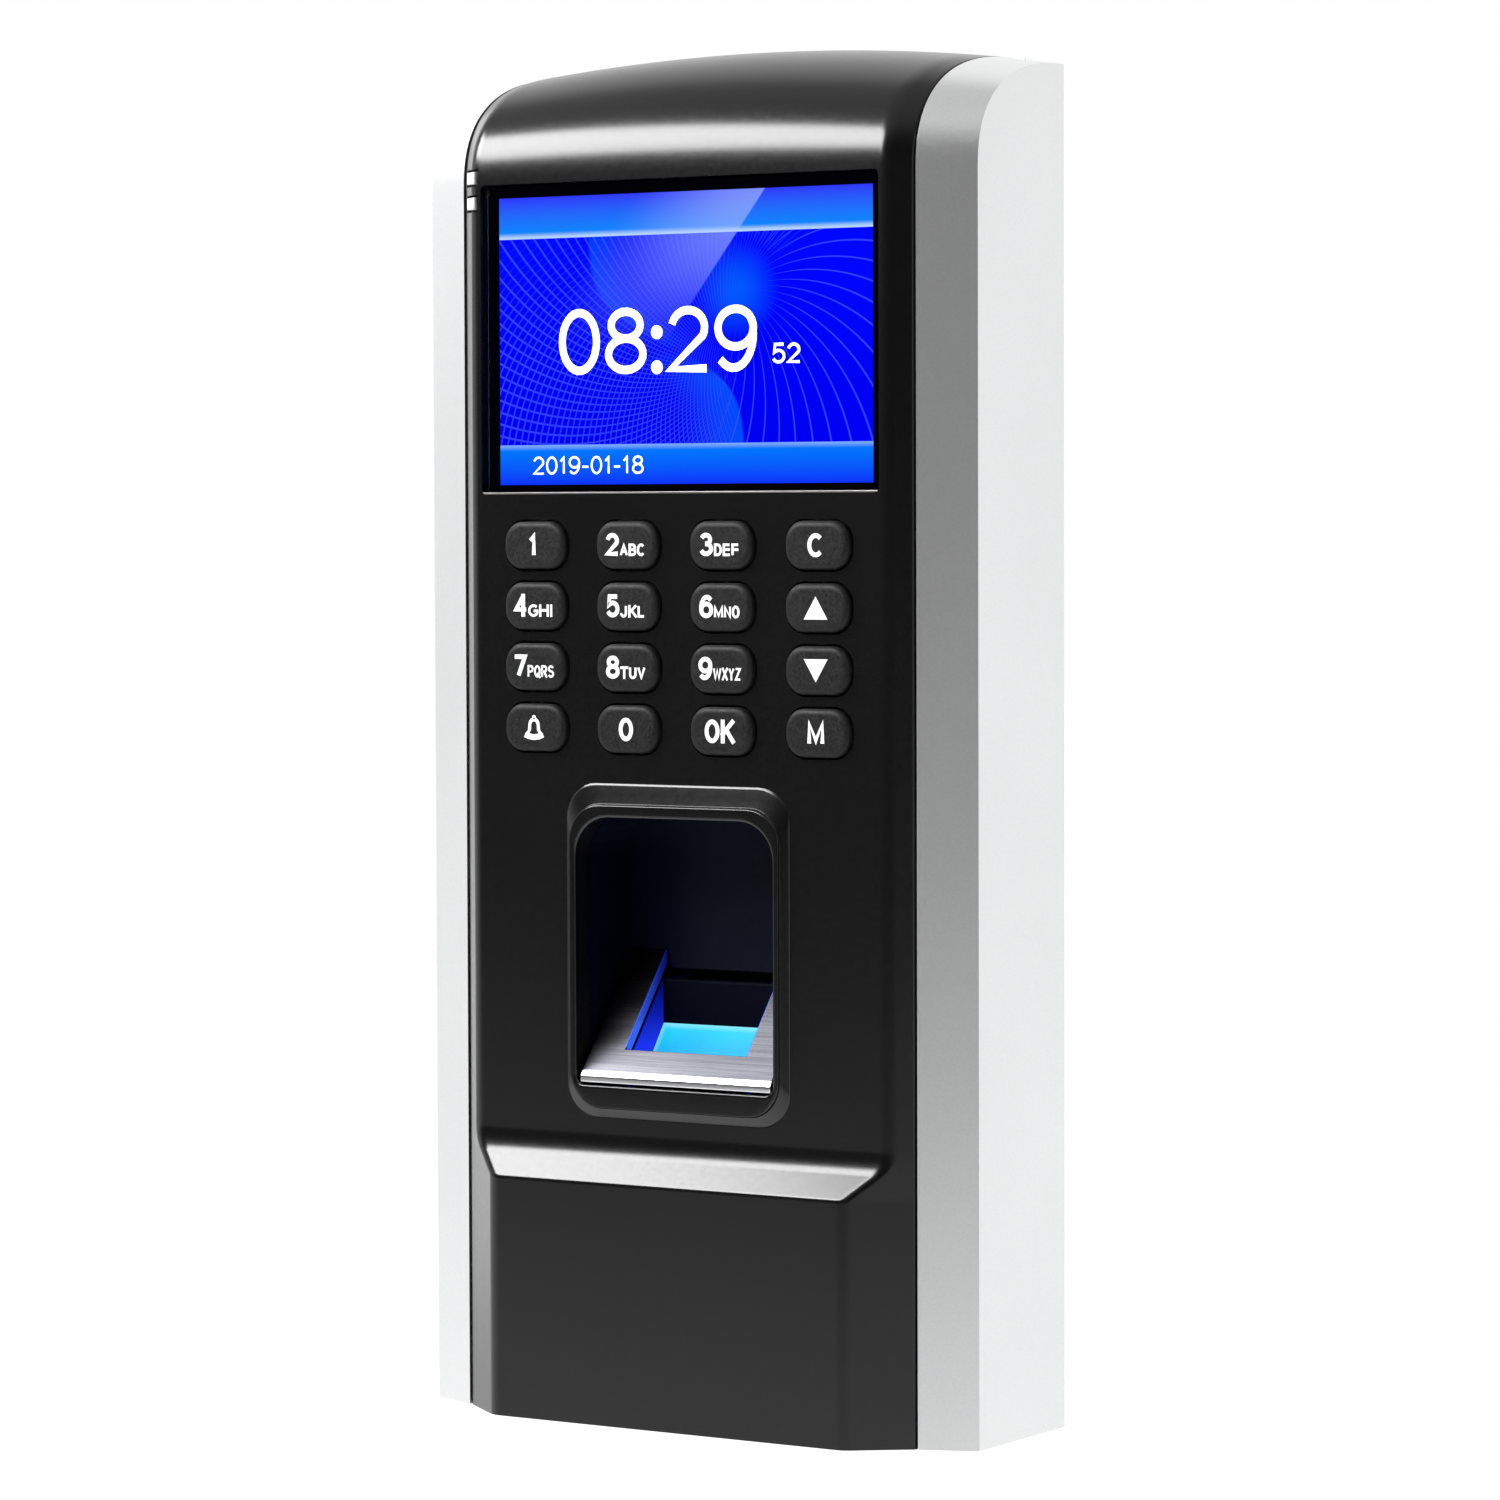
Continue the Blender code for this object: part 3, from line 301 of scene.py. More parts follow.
def make_screen():
    """The lit display: deep blue with fine sweeping lines, a paler wedge of painted gloss reflection, and a graded bar
    at the top and bottom.
    """
    material, nodes, shader = new_material("display_lit", Base_Color=(0.0, 0.0, 0.001, 1), Roughness=1.0, Specular_IOR_Level=0.0)
    x, _, z = nodes.axes()
    z = nodes.math("ADD", z, ORIGIN_HEIGHT)
    u = nodes.math("DIVIDE", x, LIT_HALF_X)
    v = nodes.span(z, LIT_LOW, LIT_HIGH, 0, 1, False)
    def polar(u0, v0):
        """Distance and angle about a point of the display."""
        du = nodes.math("MULTIPLY", nodes.math("SUBTRACT", u, u0), 1.53)
        dv = nodes.math("MULTIPLY", nodes.math("SUBTRACT", v, v0), 2.0)
        far = nodes.math("SQRT", nodes.math("ADD", nodes.math("MULTIPLY", du, du), nodes.math("MULTIPLY", dv, dv)))
        return far, nodes.math("ARCTAN2", dv, du)

    def fan(pole, curl, count, thin):
        """Thin spokes about a point, bending as they leave it; fainter where they crowd together."""
        bent = nodes.math("ADD", pole[1], nodes.math("MULTIPLY", pole[0], curl))
        rays = nodes.span(nodes.math("SINE", nodes.math("MULTIPLY", bent, count)), thin, 1.0)
        return nodes.math("MULTIPLY", rays, nodes.span(pole[0], 0.12, 0.6))

    focus, low_focus = polar(0.29, 0.66), polar(0.27, 0.40)
    leftward = nodes.span(u, 0.12, 0.34, 1.0, 0.0)
    rightward = nodes.math("SUBTRACT", 1.0, leftward)
    lines = nodes.math("MULTIPLY", fan(focus, 0.36, 49.0, 0.93), rightward)
    upward = nodes.math("MULTIPLY", nodes.span(focus[1], 0.5, 0.9), rightward)
    lines = nodes.math("MAXIMUM", lines, nodes.math("MULTIPLY", fan(focus, 0.12, 98.0, 0.75), upward))
    lines = nodes.math("MAXIMUM", lines, nodes.math("MULTIPLY", fan(low_focus, 0.25, 140.0, 0.7), leftward))
    weave = nodes.math("MULTIPLY", fan(focus, -0.55, 160.0, 0.65), nodes.math("MULTIPLY", leftward, nodes.span(v, 0.85, 0.4, 0.1, 0.9)))
    lines = nodes.math("MAXIMUM", lines, weave)
    body = nodes.mix(nodes.span(v, 0.1, 0.9), (0.0, 0.0, 0.90, 1), (0.0, 0.002, 1.0, 1))
    # An S-shaped boundary from the upper left to the lower centre, with a blue glow on its inner side.
    bend = nodes.math("TANH", nodes.math("DIVIDE", nodes.math("SUBTRACT", v, 0.48), 0.14))
    past = nodes.math("ADD", nodes.math("ADD", u, 0.09), nodes.math("MULTIPLY", bend, 0.42))
    upper = nodes.math("MULTIPLY", nodes.span(past, 0.0, 0.24, 0.55, 0.0), nodes.span(v, 0.42, 0.62))
    upper = nodes.math("MULTIPLY", upper, nodes.span(past, -0.012, 0.012))
    lower = nodes.math("MULTIPLY", nodes.span(past, -0.34, 0.0), nodes.span(v, 0.46, 0.34))
    lower = nodes.math("MULTIPLY", lower, nodes.span(past, -0.008, 0.008, 1.0, 0.0))
    body = nodes.mix(nodes.math("MAXIMUM", upper, nodes.math("MULTIPLY", lower, 0.8)), body, (0.0, 0.085, 1.0, 1))
    body = nodes.mix(nodes.span(focus[0], 0.0, 0.36, 0.75, 0.0), body, (0.0, 0.13, 1.0, 1))
    body = nodes.mix(nodes.math("MULTIPLY", lines, 0.42), body, (0.075, 0.13, 1.0, 1))
    # Graded bars, each with a pale line at its inner edge.
    top = nodes.mix(nodes.span(z, TOP_BAR_LOW, LIT_HIGH, 0, 1, False), (0.0, 0.27, 1.0, 1), (0.03, 0.04, 0.95, 1))
    low = nodes.mix(nodes.span(z, LIT_LOW, LOW_BAR_HIGH, 0, 1, False), (0.004, 0.03, 0.95, 1), (0.0, 0.21, 1.0, 1))
    sheet = nodes.mix(nodes.math("GREATER_THAN", z, TOP_BAR_LOW), body, top)
    sheet = nodes.mix(nodes.math("LESS_THAN", z, LOW_BAR_HIGH), sheet, low)
    top_line = nodes.math("MULTIPLY", nodes.span(z, TOP_BAR_LOW, TOP_BAR_LOW + 0.9 * MM, 1.0, 0.0), nodes.math("GREATER_THAN", z, TOP_BAR_LOW))
    sheet = nodes.mix(nodes.math("MULTIPLY", top_line, 0.9), sheet, (0.55, 0.75, 1.0, 1))
    low_line = nodes.math("MULTIPLY", nodes.span(z, LOW_BAR_HIGH - 0.8 * MM, LOW_BAR_HIGH, 0.0, 1.0), nodes.math("LESS_THAN", z, LOW_BAR_HIGH))
    sheet = nodes.mix(nodes.math("MULTIPLY", low_line, 0.45), sheet, (0.45, 0.65, 1.0, 1))
    # The wedge: a painted reflection, a pale diagonal sheen, strongest at the top.
    right = nodes.math("ADD", nodes.math("SUBTRACT", u, 0.44), nodes.math("MULTIPLY", nodes.math("SUBTRACT", 1.0, v), 1.03))
    painted_sheen = nodes.math("MULTIPLY", nodes.span(right, -0.006, 0.006, 1.0, 0.0), nodes.span(right, -0.75, 0.0))
    painted_sheen = nodes.math("MULTIPLY", painted_sheen, nodes.span(v, 0.45, 1.0, 0.0, 0.42))
    sheet = nodes.mix(painted_sheen, sheet, (0.45, 0.60, 1.0, 1))
    border = nodes.math("MULTIPLY", nodes.math("LESS_THAN", nodes.math("ABSOLUTE", u), 1.0), nodes.math("LESS_THAN", nodes.math("ABSOLUTE", nodes.math("SUBTRACT", v, 0.5)), 0.4999))
    sheet = nodes.mix(border, (0.0005, 0.0005, 0.001, 1), sheet)
    nodes.feed(shader.inputs["Emission Color"], sheet)
    shader.inputs["Emission Strength"].default_value = 1.0
    return material


def make_lit_text():
    material, nodes, shader = new_material("display_digits", Base_Color=(0.8, 0.8, 0.8, 1), Roughness=0.5)
    pulse = nodes.noise(nodes.place(), 1500.0, 1.0)
    nodes.feed(shader.inputs["Emission Color"], nodes.mix(pulse, (0.92, 0.95, 1.0, 1), (1, 1, 1, 1)))
    shader.inputs["Emission Strength"].default_value = 1.0
    return material


def make_brushed():
    """Brushed metal: grain running across the plate."""
    material, nodes, shader = new_material("brushed_plate", Metallic=1.0, Anisotropic=0.4)
    strokes = nodes.noise(nodes.place((60.0, 4200.0, 4200.0)), 1.0, 3.0, 0.6)
    broad = nodes.noise(nodes.place((20.0, 300.0, 300.0)), 1.0, 2.0)
    # Painted shade: the steel's colour is darkened all over to stand in for the dark recess walls that the plate
    # mirrors.
    base = nodes.mix(nodes.span(strokes, 0.3, 0.7), (0.036, 0.036, 0.043, 1), (0.056, 0.056, 0.064, 1))
    # Its front edge keeps a bright steel colour, unshaded.
    unshaded_front_edge = nodes.span(nodes.axes()[1], 0.40 * MM - FRAME_FRONT[0], 0.52 * MM - FRAME_FRONT[0], 1.0, 0.0)
    nodes.feed(shader.inputs["Base Color"], nodes.mix(unshaded_front_edge, base, (0.9, 0.9, 0.92, 1)))
    nodes.feed(shader.inputs["Roughness"], nodes.span(broad, 0.3, 0.7, 0.22, 0.30))
    nodes.feed(shader.inputs["Normal"], nodes.bump(strokes, 0.25, 0.00002))
    # The window's side walls take up the sensor's blue light, less so towards the back.
    x, y, _ = nodes.axes()
    inside = nodes.math("LESS_THAN", nodes.math("ABSOLUTE", x), WINDOW_HALF_X + 0.2 * MM)
    inside = nodes.math("MULTIPLY", inside, nodes.math("GREATER_THAN", y, 0.25 * MM - WINDOW_FRONT))
    lit = nodes.mix(nodes.span(y, -WINDOW_FRONT, -RECESS_BACK), (0.03, 0.10, 0.9, 1), (0.002, 0.004, 0.12, 1))
    nodes.feed(shader.inputs["Emission Color"], nodes.mix(inside, (0, 0, 0, 1), lit))
    shader.inputs["Emission Strength"].default_value = 1.0
    return material


def make_scanner_glass():
    """Lit glass: cyan, paler towards its edges."""
    material, nodes, shader = new_material("scanner_glass_lit", Base_Color=(0.01, 0.1, 0.2, 1), Roughness=0.25, Specular_IOR_Level=0.03)
    x, y, z = nodes.axes()
    z = nodes.math("ADD", z, ORIGIN_HEIGHT)
    across = nodes.math("ABSOLUTE", nodes.math("DIVIDE", x, WINDOW_HALF_X))
    side = nodes.span(across, 0.86, 0.98)
    back = nodes.span(z, GLASS_TOP - 0.9 * MM, GLASS_TOP - 0.1 * MM)
    front = nodes.span(z, 46.2 * MM, 47.4 * MM, 1.0, 0.0)
    rim = nodes.math("MAXIMUM", side, nodes.math("MAXIMUM", back, front))
    core = nodes.mix(nodes.span(z, 47.0 * MM, GLASS_TOP), (0.01, 0.42, 0.90, 1), (0.03, 0.66, 0.86, 1))
    clouds = nodes.noise(nodes.place(), 220.0, 2.0)
    core = nodes.mix(nodes.span(clouds, 0.3, 0.7, 0.0, 0.25), core, (0.0, 0.75, 0.95, 1))
    glow = nodes.mix(nodes.math("MULTIPLY", rim, 0.5), core, (0.45, 0.95, 1.0, 1))
    nodes.feed(shader.inputs["Emission Color"], glow)
    shader.inputs["Emission Strength"].default_value = 0.9
    return material


def make_well_wall():
    """The scanner's well: its side walls catch the blue light, strongest low down."""
    material, nodes, shader = new_material("scanner_well_wall", Roughness=0.6, Specular_IOR_Level=0.05)
    x, y, z = nodes.axes()
    z = nodes.math("ADD", z, ORIGIN_HEIGHT)
    grain = nodes.noise(nodes.place(), 900.0, 3.0)
    nodes.feed(shader.inputs["Base Color"], nodes.mix(grain, (0.0008, 0.001, 0.005, 1), (0.0015, 0.002, 0.008, 1)))
    beside = nodes.span(nodes.math("ABSOLUTE", x), WINDOW_HALF_X - 0.12 * MM, WINDOW_HALF_X - 0.04 * MM)
    beside = nodes.math("MULTIPLY", beside, nodes.span(nodes.math("ABSOLUTE", x), WINDOW_HALF_X + 0.02 * MM, WINDOW_HALF_X + 0.1 * MM, 1.0, 0.0))
    height = nodes.span(z, 46.0 * MM, 60.5 * MM, 1.0, 0.0, False)
    fade = nodes.math("POWER", height, 1.4)
    colour = nodes.mix(height, (0.0, 0.0, 0.25, 1), (0.012, 0.035, 1.0, 1))
    nodes.feed(shader.inputs["Emission Color"], colour)
    nodes.feed(shader.inputs["Emission Strength"], nodes.math("MULTIPLY", nodes.math("MULTIPLY", fade, beside), 1.25))
    return material


def make_frosted():
    material, nodes, shader = new_material("frosted_diffuser", Subsurface_Weight=0.0, Transmission_Weight=0.35, IOR=1.45)
    frost = nodes.noise(nodes.place(), 1500.0, 3.0)
    nodes.feed(shader.inputs["Base Color"], nodes.mix(frost, (0.70, 0.71, 0.72, 1), (0.82, 0.83, 0.84, 1)))
    nodes.feed(shader.inputs["Roughness"], nodes.span(frost, 0.3, 0.7, 0.3, 0.5))
    nodes.feed(shader.inputs["Normal"], nodes.bump(frost, 0.2, 0.00002))
    return material


def make_board():
    """Circuit board: solder mask over fine copper tracks and small pads."""
    material, nodes, shader = new_material("circuit_board", Roughness=0.38)
    place = nodes.place()
    tracks = nodes.new("ShaderNodeTexBrick", offset=0.35, squash=1.0)
    turn = nodes.new("ShaderNodeMapping")
    turn.inputs["Rotation"].default_value = (math.pi / 2, 0, 0)
    nodes.feed(turn.inputs["Vector"], place)
    nodes.feed(tracks.inputs["Vector"], turn.outputs["Vector"])
    tracks.inputs["Scale"].default_value = 260.0
    tracks.inputs["Mortar Size"].default_value = 0.03
    tracks.inputs["Brick Width"].default_value = 1.3
    tracks.inputs["Row Height"].default_value = 0.42
    copper = nodes.mix(tracks.outputs["Fac"], (0.010, 0.085, 0.032, 1), (0.03, 0.17, 0.07, 1))
    dots = nodes.new("ShaderNodeTexVoronoi")
    nodes.feed(dots.inputs["Vector"], place)
    dots.inputs["Scale"].default_value = 330.0
    pads = nodes.span(dots.outputs["Distance"], 0.10, 0.13, 1.0, 0.0)
    nodes.feed(shader.inputs["Base Color"], nodes.mix(pads, copper, (0.55, 0.50, 0.36, 1)))
    nodes.feed(shader.inputs["Normal"], nodes.bump(tracks.outputs["Fac"], 0.3, 0.00004))
    return material


BLACK = grained(
    "black_satin_plastic", (0.0032, 0.0032, 0.0034), 0.22, 0.015, 1400.0, 0.02, 30.0, 0.15, Specular_IOR_Level=0.5,
)
INNER = grained("black_inner_plastic", (0.012, 0.012, 0.013), 0.45, 0.05, 1200.0, 0.3, edge=0.15 * MM)
REAR = grained("black_rear_plastic", (0.016, 0.016, 0.017), 0.5, 0.06, 1500.0, 0.6, edge=0.25 * MM)
NAVY = grained("navy_liner", (0.0008, 0.0016, 0.010), 0.32, 0.03, 900.0, 0.02, Specular_IOR_Level=0.2)
SILVER = make_silver()
RUBBER = make_rubber()
INK = make_ink()
LENS = make_lens()
SCREEN = make_screen()
DIGITS = make_lit_text()
BRUSHED = make_brushed()
GLASS = make_scanner_glass()
WELL = make_well_wall()
FROSTED = make_frosted()
BOARD = make_board()
STEEL = grained("zinc_plated_steel", (0.56, 0.57, 0.58), 0.34, 0.08, 700.0, 0.2, 90.0, 0.10, edge=0.15 * MM, Metallic=1.0)
CELL = grained("nickel_steel", (0.66, 0.66, 0.66), 0.25, 0.05, 900.0, 0.1, 60.0, 0.06, edge=0.2 * MM, Metallic=1.0)
IVORY = grained("header_nylon", (0.62, 0.58, 0.47), 0.45, 0.05, 1200.0, 0.2, edge=0.15 * MM)
RELAY = grained("relay_case", (0.02, 0.09, 0.28), 0.4, 0.05, 1200.0, 0.2, edge=0.25 * MM)
SILICONE = grained("silicone_mat", (0.25, 0.25, 0.26), 0.6, 0.05, 900.0, 0.3, edge=0.2 * MM)
DIFFUSER = grained("white_sheet", (0.78, 0.78, 0.76), 0.5, 0.05, 900.0, 0.1, edge=0.2 * MM)
# Painted highlight: bright satin metal for the strip that stands in for the lit lower edge of the display window.
HIGHLIGHT_STRIP = grained("painted_highlight_strip", (0.30, 0.285, 0.27), 0.34, 0.05, 1500.0, 0.05, Metallic=1.0)
GOLD = grained("plated_pins", (0.80, 0.60, 0.26), 0.25, 0.05, 1500.0, 0.1, Metallic=1.0)


# ---------------------------------------------------------------- mesh helpers


def rounded(corners, setbacks, steps=6):
    """A path through 2-D corners, each inner corner turned smoothly from one side to the next."""
    path = [Vector(corners[0])]
    for before, corner, after, setback in zip(corners, corners[1:], corners[2:], setbacks):
        before, corner, after = Vector(before), Vector(corner), Vector(after)
        start = corner + (before - corner).normalized() * setback
        end = corner + (after - corner).normalized() * setback
        for step in range(steps + 1):
            share = step / steps
            path.append(start * (1 - share) ** 2 + corner * 2 * share * (1 - share) + end * share**2)
    path.append(Vector(corners[-1]))
    return path


def outline(half_u, low_v, high_v, radii, steps=8, edges=4):
    """A rounded rectangle, anticlockwise from the right side's top; radii are upper right, upper left, lower left, lower right."""
    points = []
    centres = ((1, high_v, -1), (-1, high_v, -1), (-1, low_v, 1), (1, low_v, 1))
    for index, ((sign, v, inward), radius) in enumerate(zip(centres, radii)):
        for step in range(steps + 1):
            angle = math.radians(90 * index + 90 * step / steps)
            u = sign * (half_u - radius) + radius * math.cos(angle)
            points.append(Vector((u, v + inward * radius + radius * math.sin(angle))))
    # Points along each straight side, so that loops of different shape still pair up.
    full = []
    for index, point in enumerate(points):
        full.append(point)
        if index % (steps + 1) == steps:
            after = points[(index + 1) % len(points)]
            full += [point.lerp(after, step / edges) for step in range(1, edges)]
    return full


def mesh_of(bm, name):
    bmesh.ops.recalc_face_normals(bm, faces=bm.faces)
    mesh = bpy.data.meshes.new(name)
    bm.to_mesh(mesh)
    bm.free()
    return mesh


def place(name, mesh, material, body="terminal", replaces=(), slot=None, smooth=None):
    """Lowers a mesh made in heights above the base into the row frame, and hangs it on its body."""
    mesh.transform(Matrix.Translation((0, 0, -ORIGIN_HEIGHT)))
    mesh.materials.clear()
    mesh.materials.append(material)
    obj = bpy.data.objects.new(name, mesh)
    bpy.context.scene.collection.objects.link(obj)
    if smooth is not None:
        even_shading(obj, smooth)
    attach(obj, body)
    if replaces:
        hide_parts(*replaces)
    return obj


def grid_faces(bm, rows, close=False):
    """Quads between each pair of neighbouring rows of points."""
    grid = [[bm.verts.new(point) for point in row] for row in rows]
    for lower, upper in zip(grid, grid[1:]):
        count = len(lower)
        for i in range(count if close else count - 1):
            j = (i + 1) % count
            bm.faces.new((lower[i], lower[j], upper[j], upper[i]))
    return grid


def stacked(name, rings, close_start=True, close_end=True):
    """Skins closed outlines, each (depth, points), from the rear to the front."""
    bm = bmesh.new()
    grid = grid_faces(bm, [[Vector((p.x, -depth, p.y)) for p in loop] for depth, loop in rings], True)
    if close_start:
        bm.faces.new(grid[0])
    if close_end:
        bm.faces.new(grid[-1])
    return mesh_of(bm, name)


def extrude_side(name, profile, half_x):
    """A profile of (y, z) points given a width along X."""
    bm = bmesh.new()
    left = [bm.verts.new((-half_x, y, z)) for y, z in profile]
    right = [bm.verts.new((half_x, y, z)) for y, z in profile]
    bm.faces.new(left)
    bm.faces.new(right)
    for i in range(len(profile)):
        j = (i + 1) % len(profile)
        bm.faces.new((left[i], left[j], right[j], right[i]))
    return mesh_of(bm, name)


def block(name, low, high):
    bm = bmesh.new()
    bmesh.ops.create_cube(bm, size=1)
    bmesh.ops.scale(bm, vec=[b - a for a, b in zip(low, high)], verts=bm.verts)
    bmesh.ops.translate(bm, vec=[(a + b) / 2 for a, b in zip(low, high)], verts=bm.verts)
    return mesh_of(bm, name)


def cut(target, meshes):
    """Cuts closed meshes, made in the target's own frame, out of it."""
    for mesh in meshes:
        tool = bpy.data.objects.new(mesh.name, mesh)
        bpy.context.scene.collection.objects.link(tool)
        modifier = target.modifiers.new("cut", "BOOLEAN")
        modifier.object = tool
        modifier.solver = "EXACT"
        bake(target)
        bpy.data.objects.remove(tool, do_unlink=True)


def bake(obj):
    """Applies the object's modifiers."""
    bpy.context.view_layer.update()
    evaluated = obj.evaluated_get(bpy.context.evaluated_depsgraph_get())
    mesh = bpy.data.meshes.new_from_object(evaluated)
    obj.modifiers.clear()
    old = obj.data
    obj.data = mesh
    bpy.data.meshes.remove(old)


def even_shading(obj, angle):
    """Smooth shading that keeps flat faces flat and edges over this angle sharp."""
    obj.data.shade_smooth()
    obj.data.set_sharp_from_angle(angle=math.radians(angle))
    weighted = obj.modifiers.new("shading", "WEIGHTED_NORMAL")
    weighted.keep_sharp = True
    weighted.weight = 50


def soften(obj, width, segments=3, angle=35):
    """Rounds the object's sharp edges."""
    modifier = obj.modifiers.new("edges", "BEVEL")
    modifier.width = width
    modifier.segments = segments
    modifier.limit_method = "ANGLE"
    modifier.angle_limit = math.radians(angle)
    bake(obj)
    even_shading(obj, 40)


# ---------------------------------------------------------------- outer form


def crown_height(x):
    x = abs(x)
    if x <= SEAM_X:
        return CROWN_TOP - (CROWN_TOP - SEAM_TOP) * (x / SEAM_X) ** 2
    return SEAM_TOP - (SEAM_TOP - SIDE_TOP) * (x - SEAM_X) / (HALF_WIDTH - SEAM_X)


def crease_x(depth):
    return SEAM_X - (depth - SEAM_DEPTH) / CHAMFER_SLOPE


def ledge_rows():
    """(front depth, height) from the lower panel's top edge up to the flat front: a straight slope, then a hollow curve."""
    tilt = LEDGE_TILT
    rise, run = FOOT_DEPTH - FACE_DEPTH, LEDGE_HIGH - LEDGE_LOW
    radius = (run * math.tan(tilt) - rise) / (1 / math.cos(tilt) - 1)
    rows = []
    for step in range(13):
        angle = tilt * (1 - step / 12)
        rows.append((FACE_DEPTH + radius * (1 - math.cos(angle)), LEDGE_HIGH - radius * math.sin(angle)))
    return rows


def profile_rows(bend_steps=40):
    """(front depth, height, turn) from the base, up the front and over the top; turn is the angle round the bend."""
    lip = 0.22 * MM
    rows = [(FOOT_DEPTH, 0.0, 0.0), (FOOT_DEPTH, LEDGE_LOW - 2 * lip, 0.0), (FOOT_DEPTH, LEDGE_LOW - lip, 0.0)]
    ledge = ledge_rows()
    slope = Vector((ledge[0][0] - FOOT_DEPTH, ledge[0][1] - LEDGE_LOW)).normalized()
    rows += [
        (FOOT_DEPTH - 0.02 * MM, LEDGE_LOW - 0.25 * lip, 0.0),
        (FOOT_DEPTH + slope.x * lip * 0.5, LEDGE_LOW + slope.y * lip * 0.5, 0.0),
        (FOOT_DEPTH + slope.x * lip * 1.5, LEDGE_LOW + slope.y * lip * 1.5, 0.0),
    ]
    rows += [(depth, height, 0.0) for depth, height in ledge]
    rows.append((FACE_DEPTH, LEDGE_HIGH + 1 * MM, 0.0))
    for step in range(bend_steps + 1):
        rows.append((FACE_DEPTH, BEND_START, math.pi / 2 * step / bend_steps))
    return rows


def skin_point(x, depth, row):
    _, height, turn = row
    bent = depth * max(math.cos(turn), 0.0) ** (2 / BEND_POWER)
    rise = (crown_height(x) - BEND_START) * math.sin(turn) ** (2 / BEND_POWER)
    return Vector((x, -max(bent, GAP), height + rise))


def skin(name, section):
    """The outer skin over a plan section, a function from the front's depth to (x, depth) points: open towards the wall."""
    bm = bmesh.new()
    rows = profile_rows()
    grid = grid_faces(bm, [[skin_point(p.x, p.y, row) for p in section(row[0])] for row in rows])
    bm.faces.new(grid[0])
    return mesh_of(bm, name)


def shell_section(front):
    edge = SEAM_X - GAP / 2
    crease = crease_x(front)
    start = SEAM_DEPTH - 0.05 * MM
    half = rounded(
        [(-edge, GAP), (-edge, start), (-crease, front), (0, front)], [0.35 * MM, min(1.1 * MM, 1.6 * MM)], 7
    )
    left, flat_start = half[:-1], half[-2]
    columns = 20
    flat = [Vector((flat_start.x + (-2 * flat_start.x) * step / columns, front)) for step in range(1, columns)]
    right = [Vector((-p.x, p.y)) for p in reversed(left)]
    return left + flat + right


def side_section(side):
    def section(front):
        seam, outer = SEAM_X + GAP / 2, HALF_WIDTH
        corners = [(outer, GAP), (outer, SIDE_DEPTH), (seam, SEAM_DEPTH), (seam, GAP)]
        points = [Vector((side * x, depth)) for x, depth in corners]
        return points if side > 0 else points[::-1]

    return section


def key_places():
    for row, names in enumerate(KEYS):
        for column, (name, label, letters) in enumerate(names):
            yield name, label, letters, (column - 1.5) * KEY_PITCH_X, KEY_TOP_ROW - row * KEY_PITCH_Z


def shell_openings():
    """Closed cutters, in the row frame, for everything that opens the front shell."""
    near, far = FACE_DEPTH + 5 * MM, FACE_DEPTH - 8 * MM
    lens = outline(LENS_HALF_X + GAP, LENS_LOW - GAP, LENS_HIGH + GAP, [0.7 * MM] * 4, 4, 1)
    mouth = outline(MOUTH_HALF_X + 0.4 * MM, MOUTH_LOW - 0.4 * MM, MOUTH_HIGH + 0.4 * MM, [MOUTH_RADIUS] * 2 + [1 * MM] * 2, 8, 1)
    found = [stacked("lens_opening", [(far, lens), (near, lens)]), stacked("mouth_opening", [(far, mouth), (near, mouth)])]
    half_x, half_z = KEY_HALF_X + GAP, KEY_HALF_Z + GAP
    for name, _, _, x, height in key_places():
        hole = [p + Vector((x, height)) for p in outline(half_x, -half_z, half_z, [KEY_RADIUS + GAP] * 4, 8, 1)]
        found.append(stacked(name + "_opening", [(far, hole), (near, hole)]))
    for name, low, high in STATUS_LIGHTS:
        found.append(block(name + "_opening", (-33.5 * MM, -29 * MM, low - GAP), (-30.7 * MM, -22.2 * MM, high + GAP)))
    for mesh in found:
        mesh.transform(Matrix.Translation((0, 0, -ORIGIN_HEIGHT)))
    return found


def make_front_shell():
    shell = place("front_shell_skin", skin("front_shell_skin", shell_section), BLACK, replaces=["front_shell"], slot="black_plastic")
    wall = shell.modifiers.new("wall", "SOLIDIFY")
    wall.thickness = SHELL_WALL
    wall.offset = -1
    bake(shell)
    cut(shell, shell_openings())
    soften(shell, 0.16 * MM, 2, 40)


def make_sides():
    for name, side in (("left_side_panel", -1), ("right_side_panel", 1)):
        panel = place(name + "_skin", skin(name + "_skin", side_section(side)), SILVER, replaces=[name], slot="silver_paint")
        wall = panel.modifiers.new("wall", "SOLIDIFY")
        wall.thickness = SIDE_WALL
        wall.offset = -1
        wall.use_even_offset = True
        bake(panel)
        soften(panel, 0.3 * MM, 4, 40)


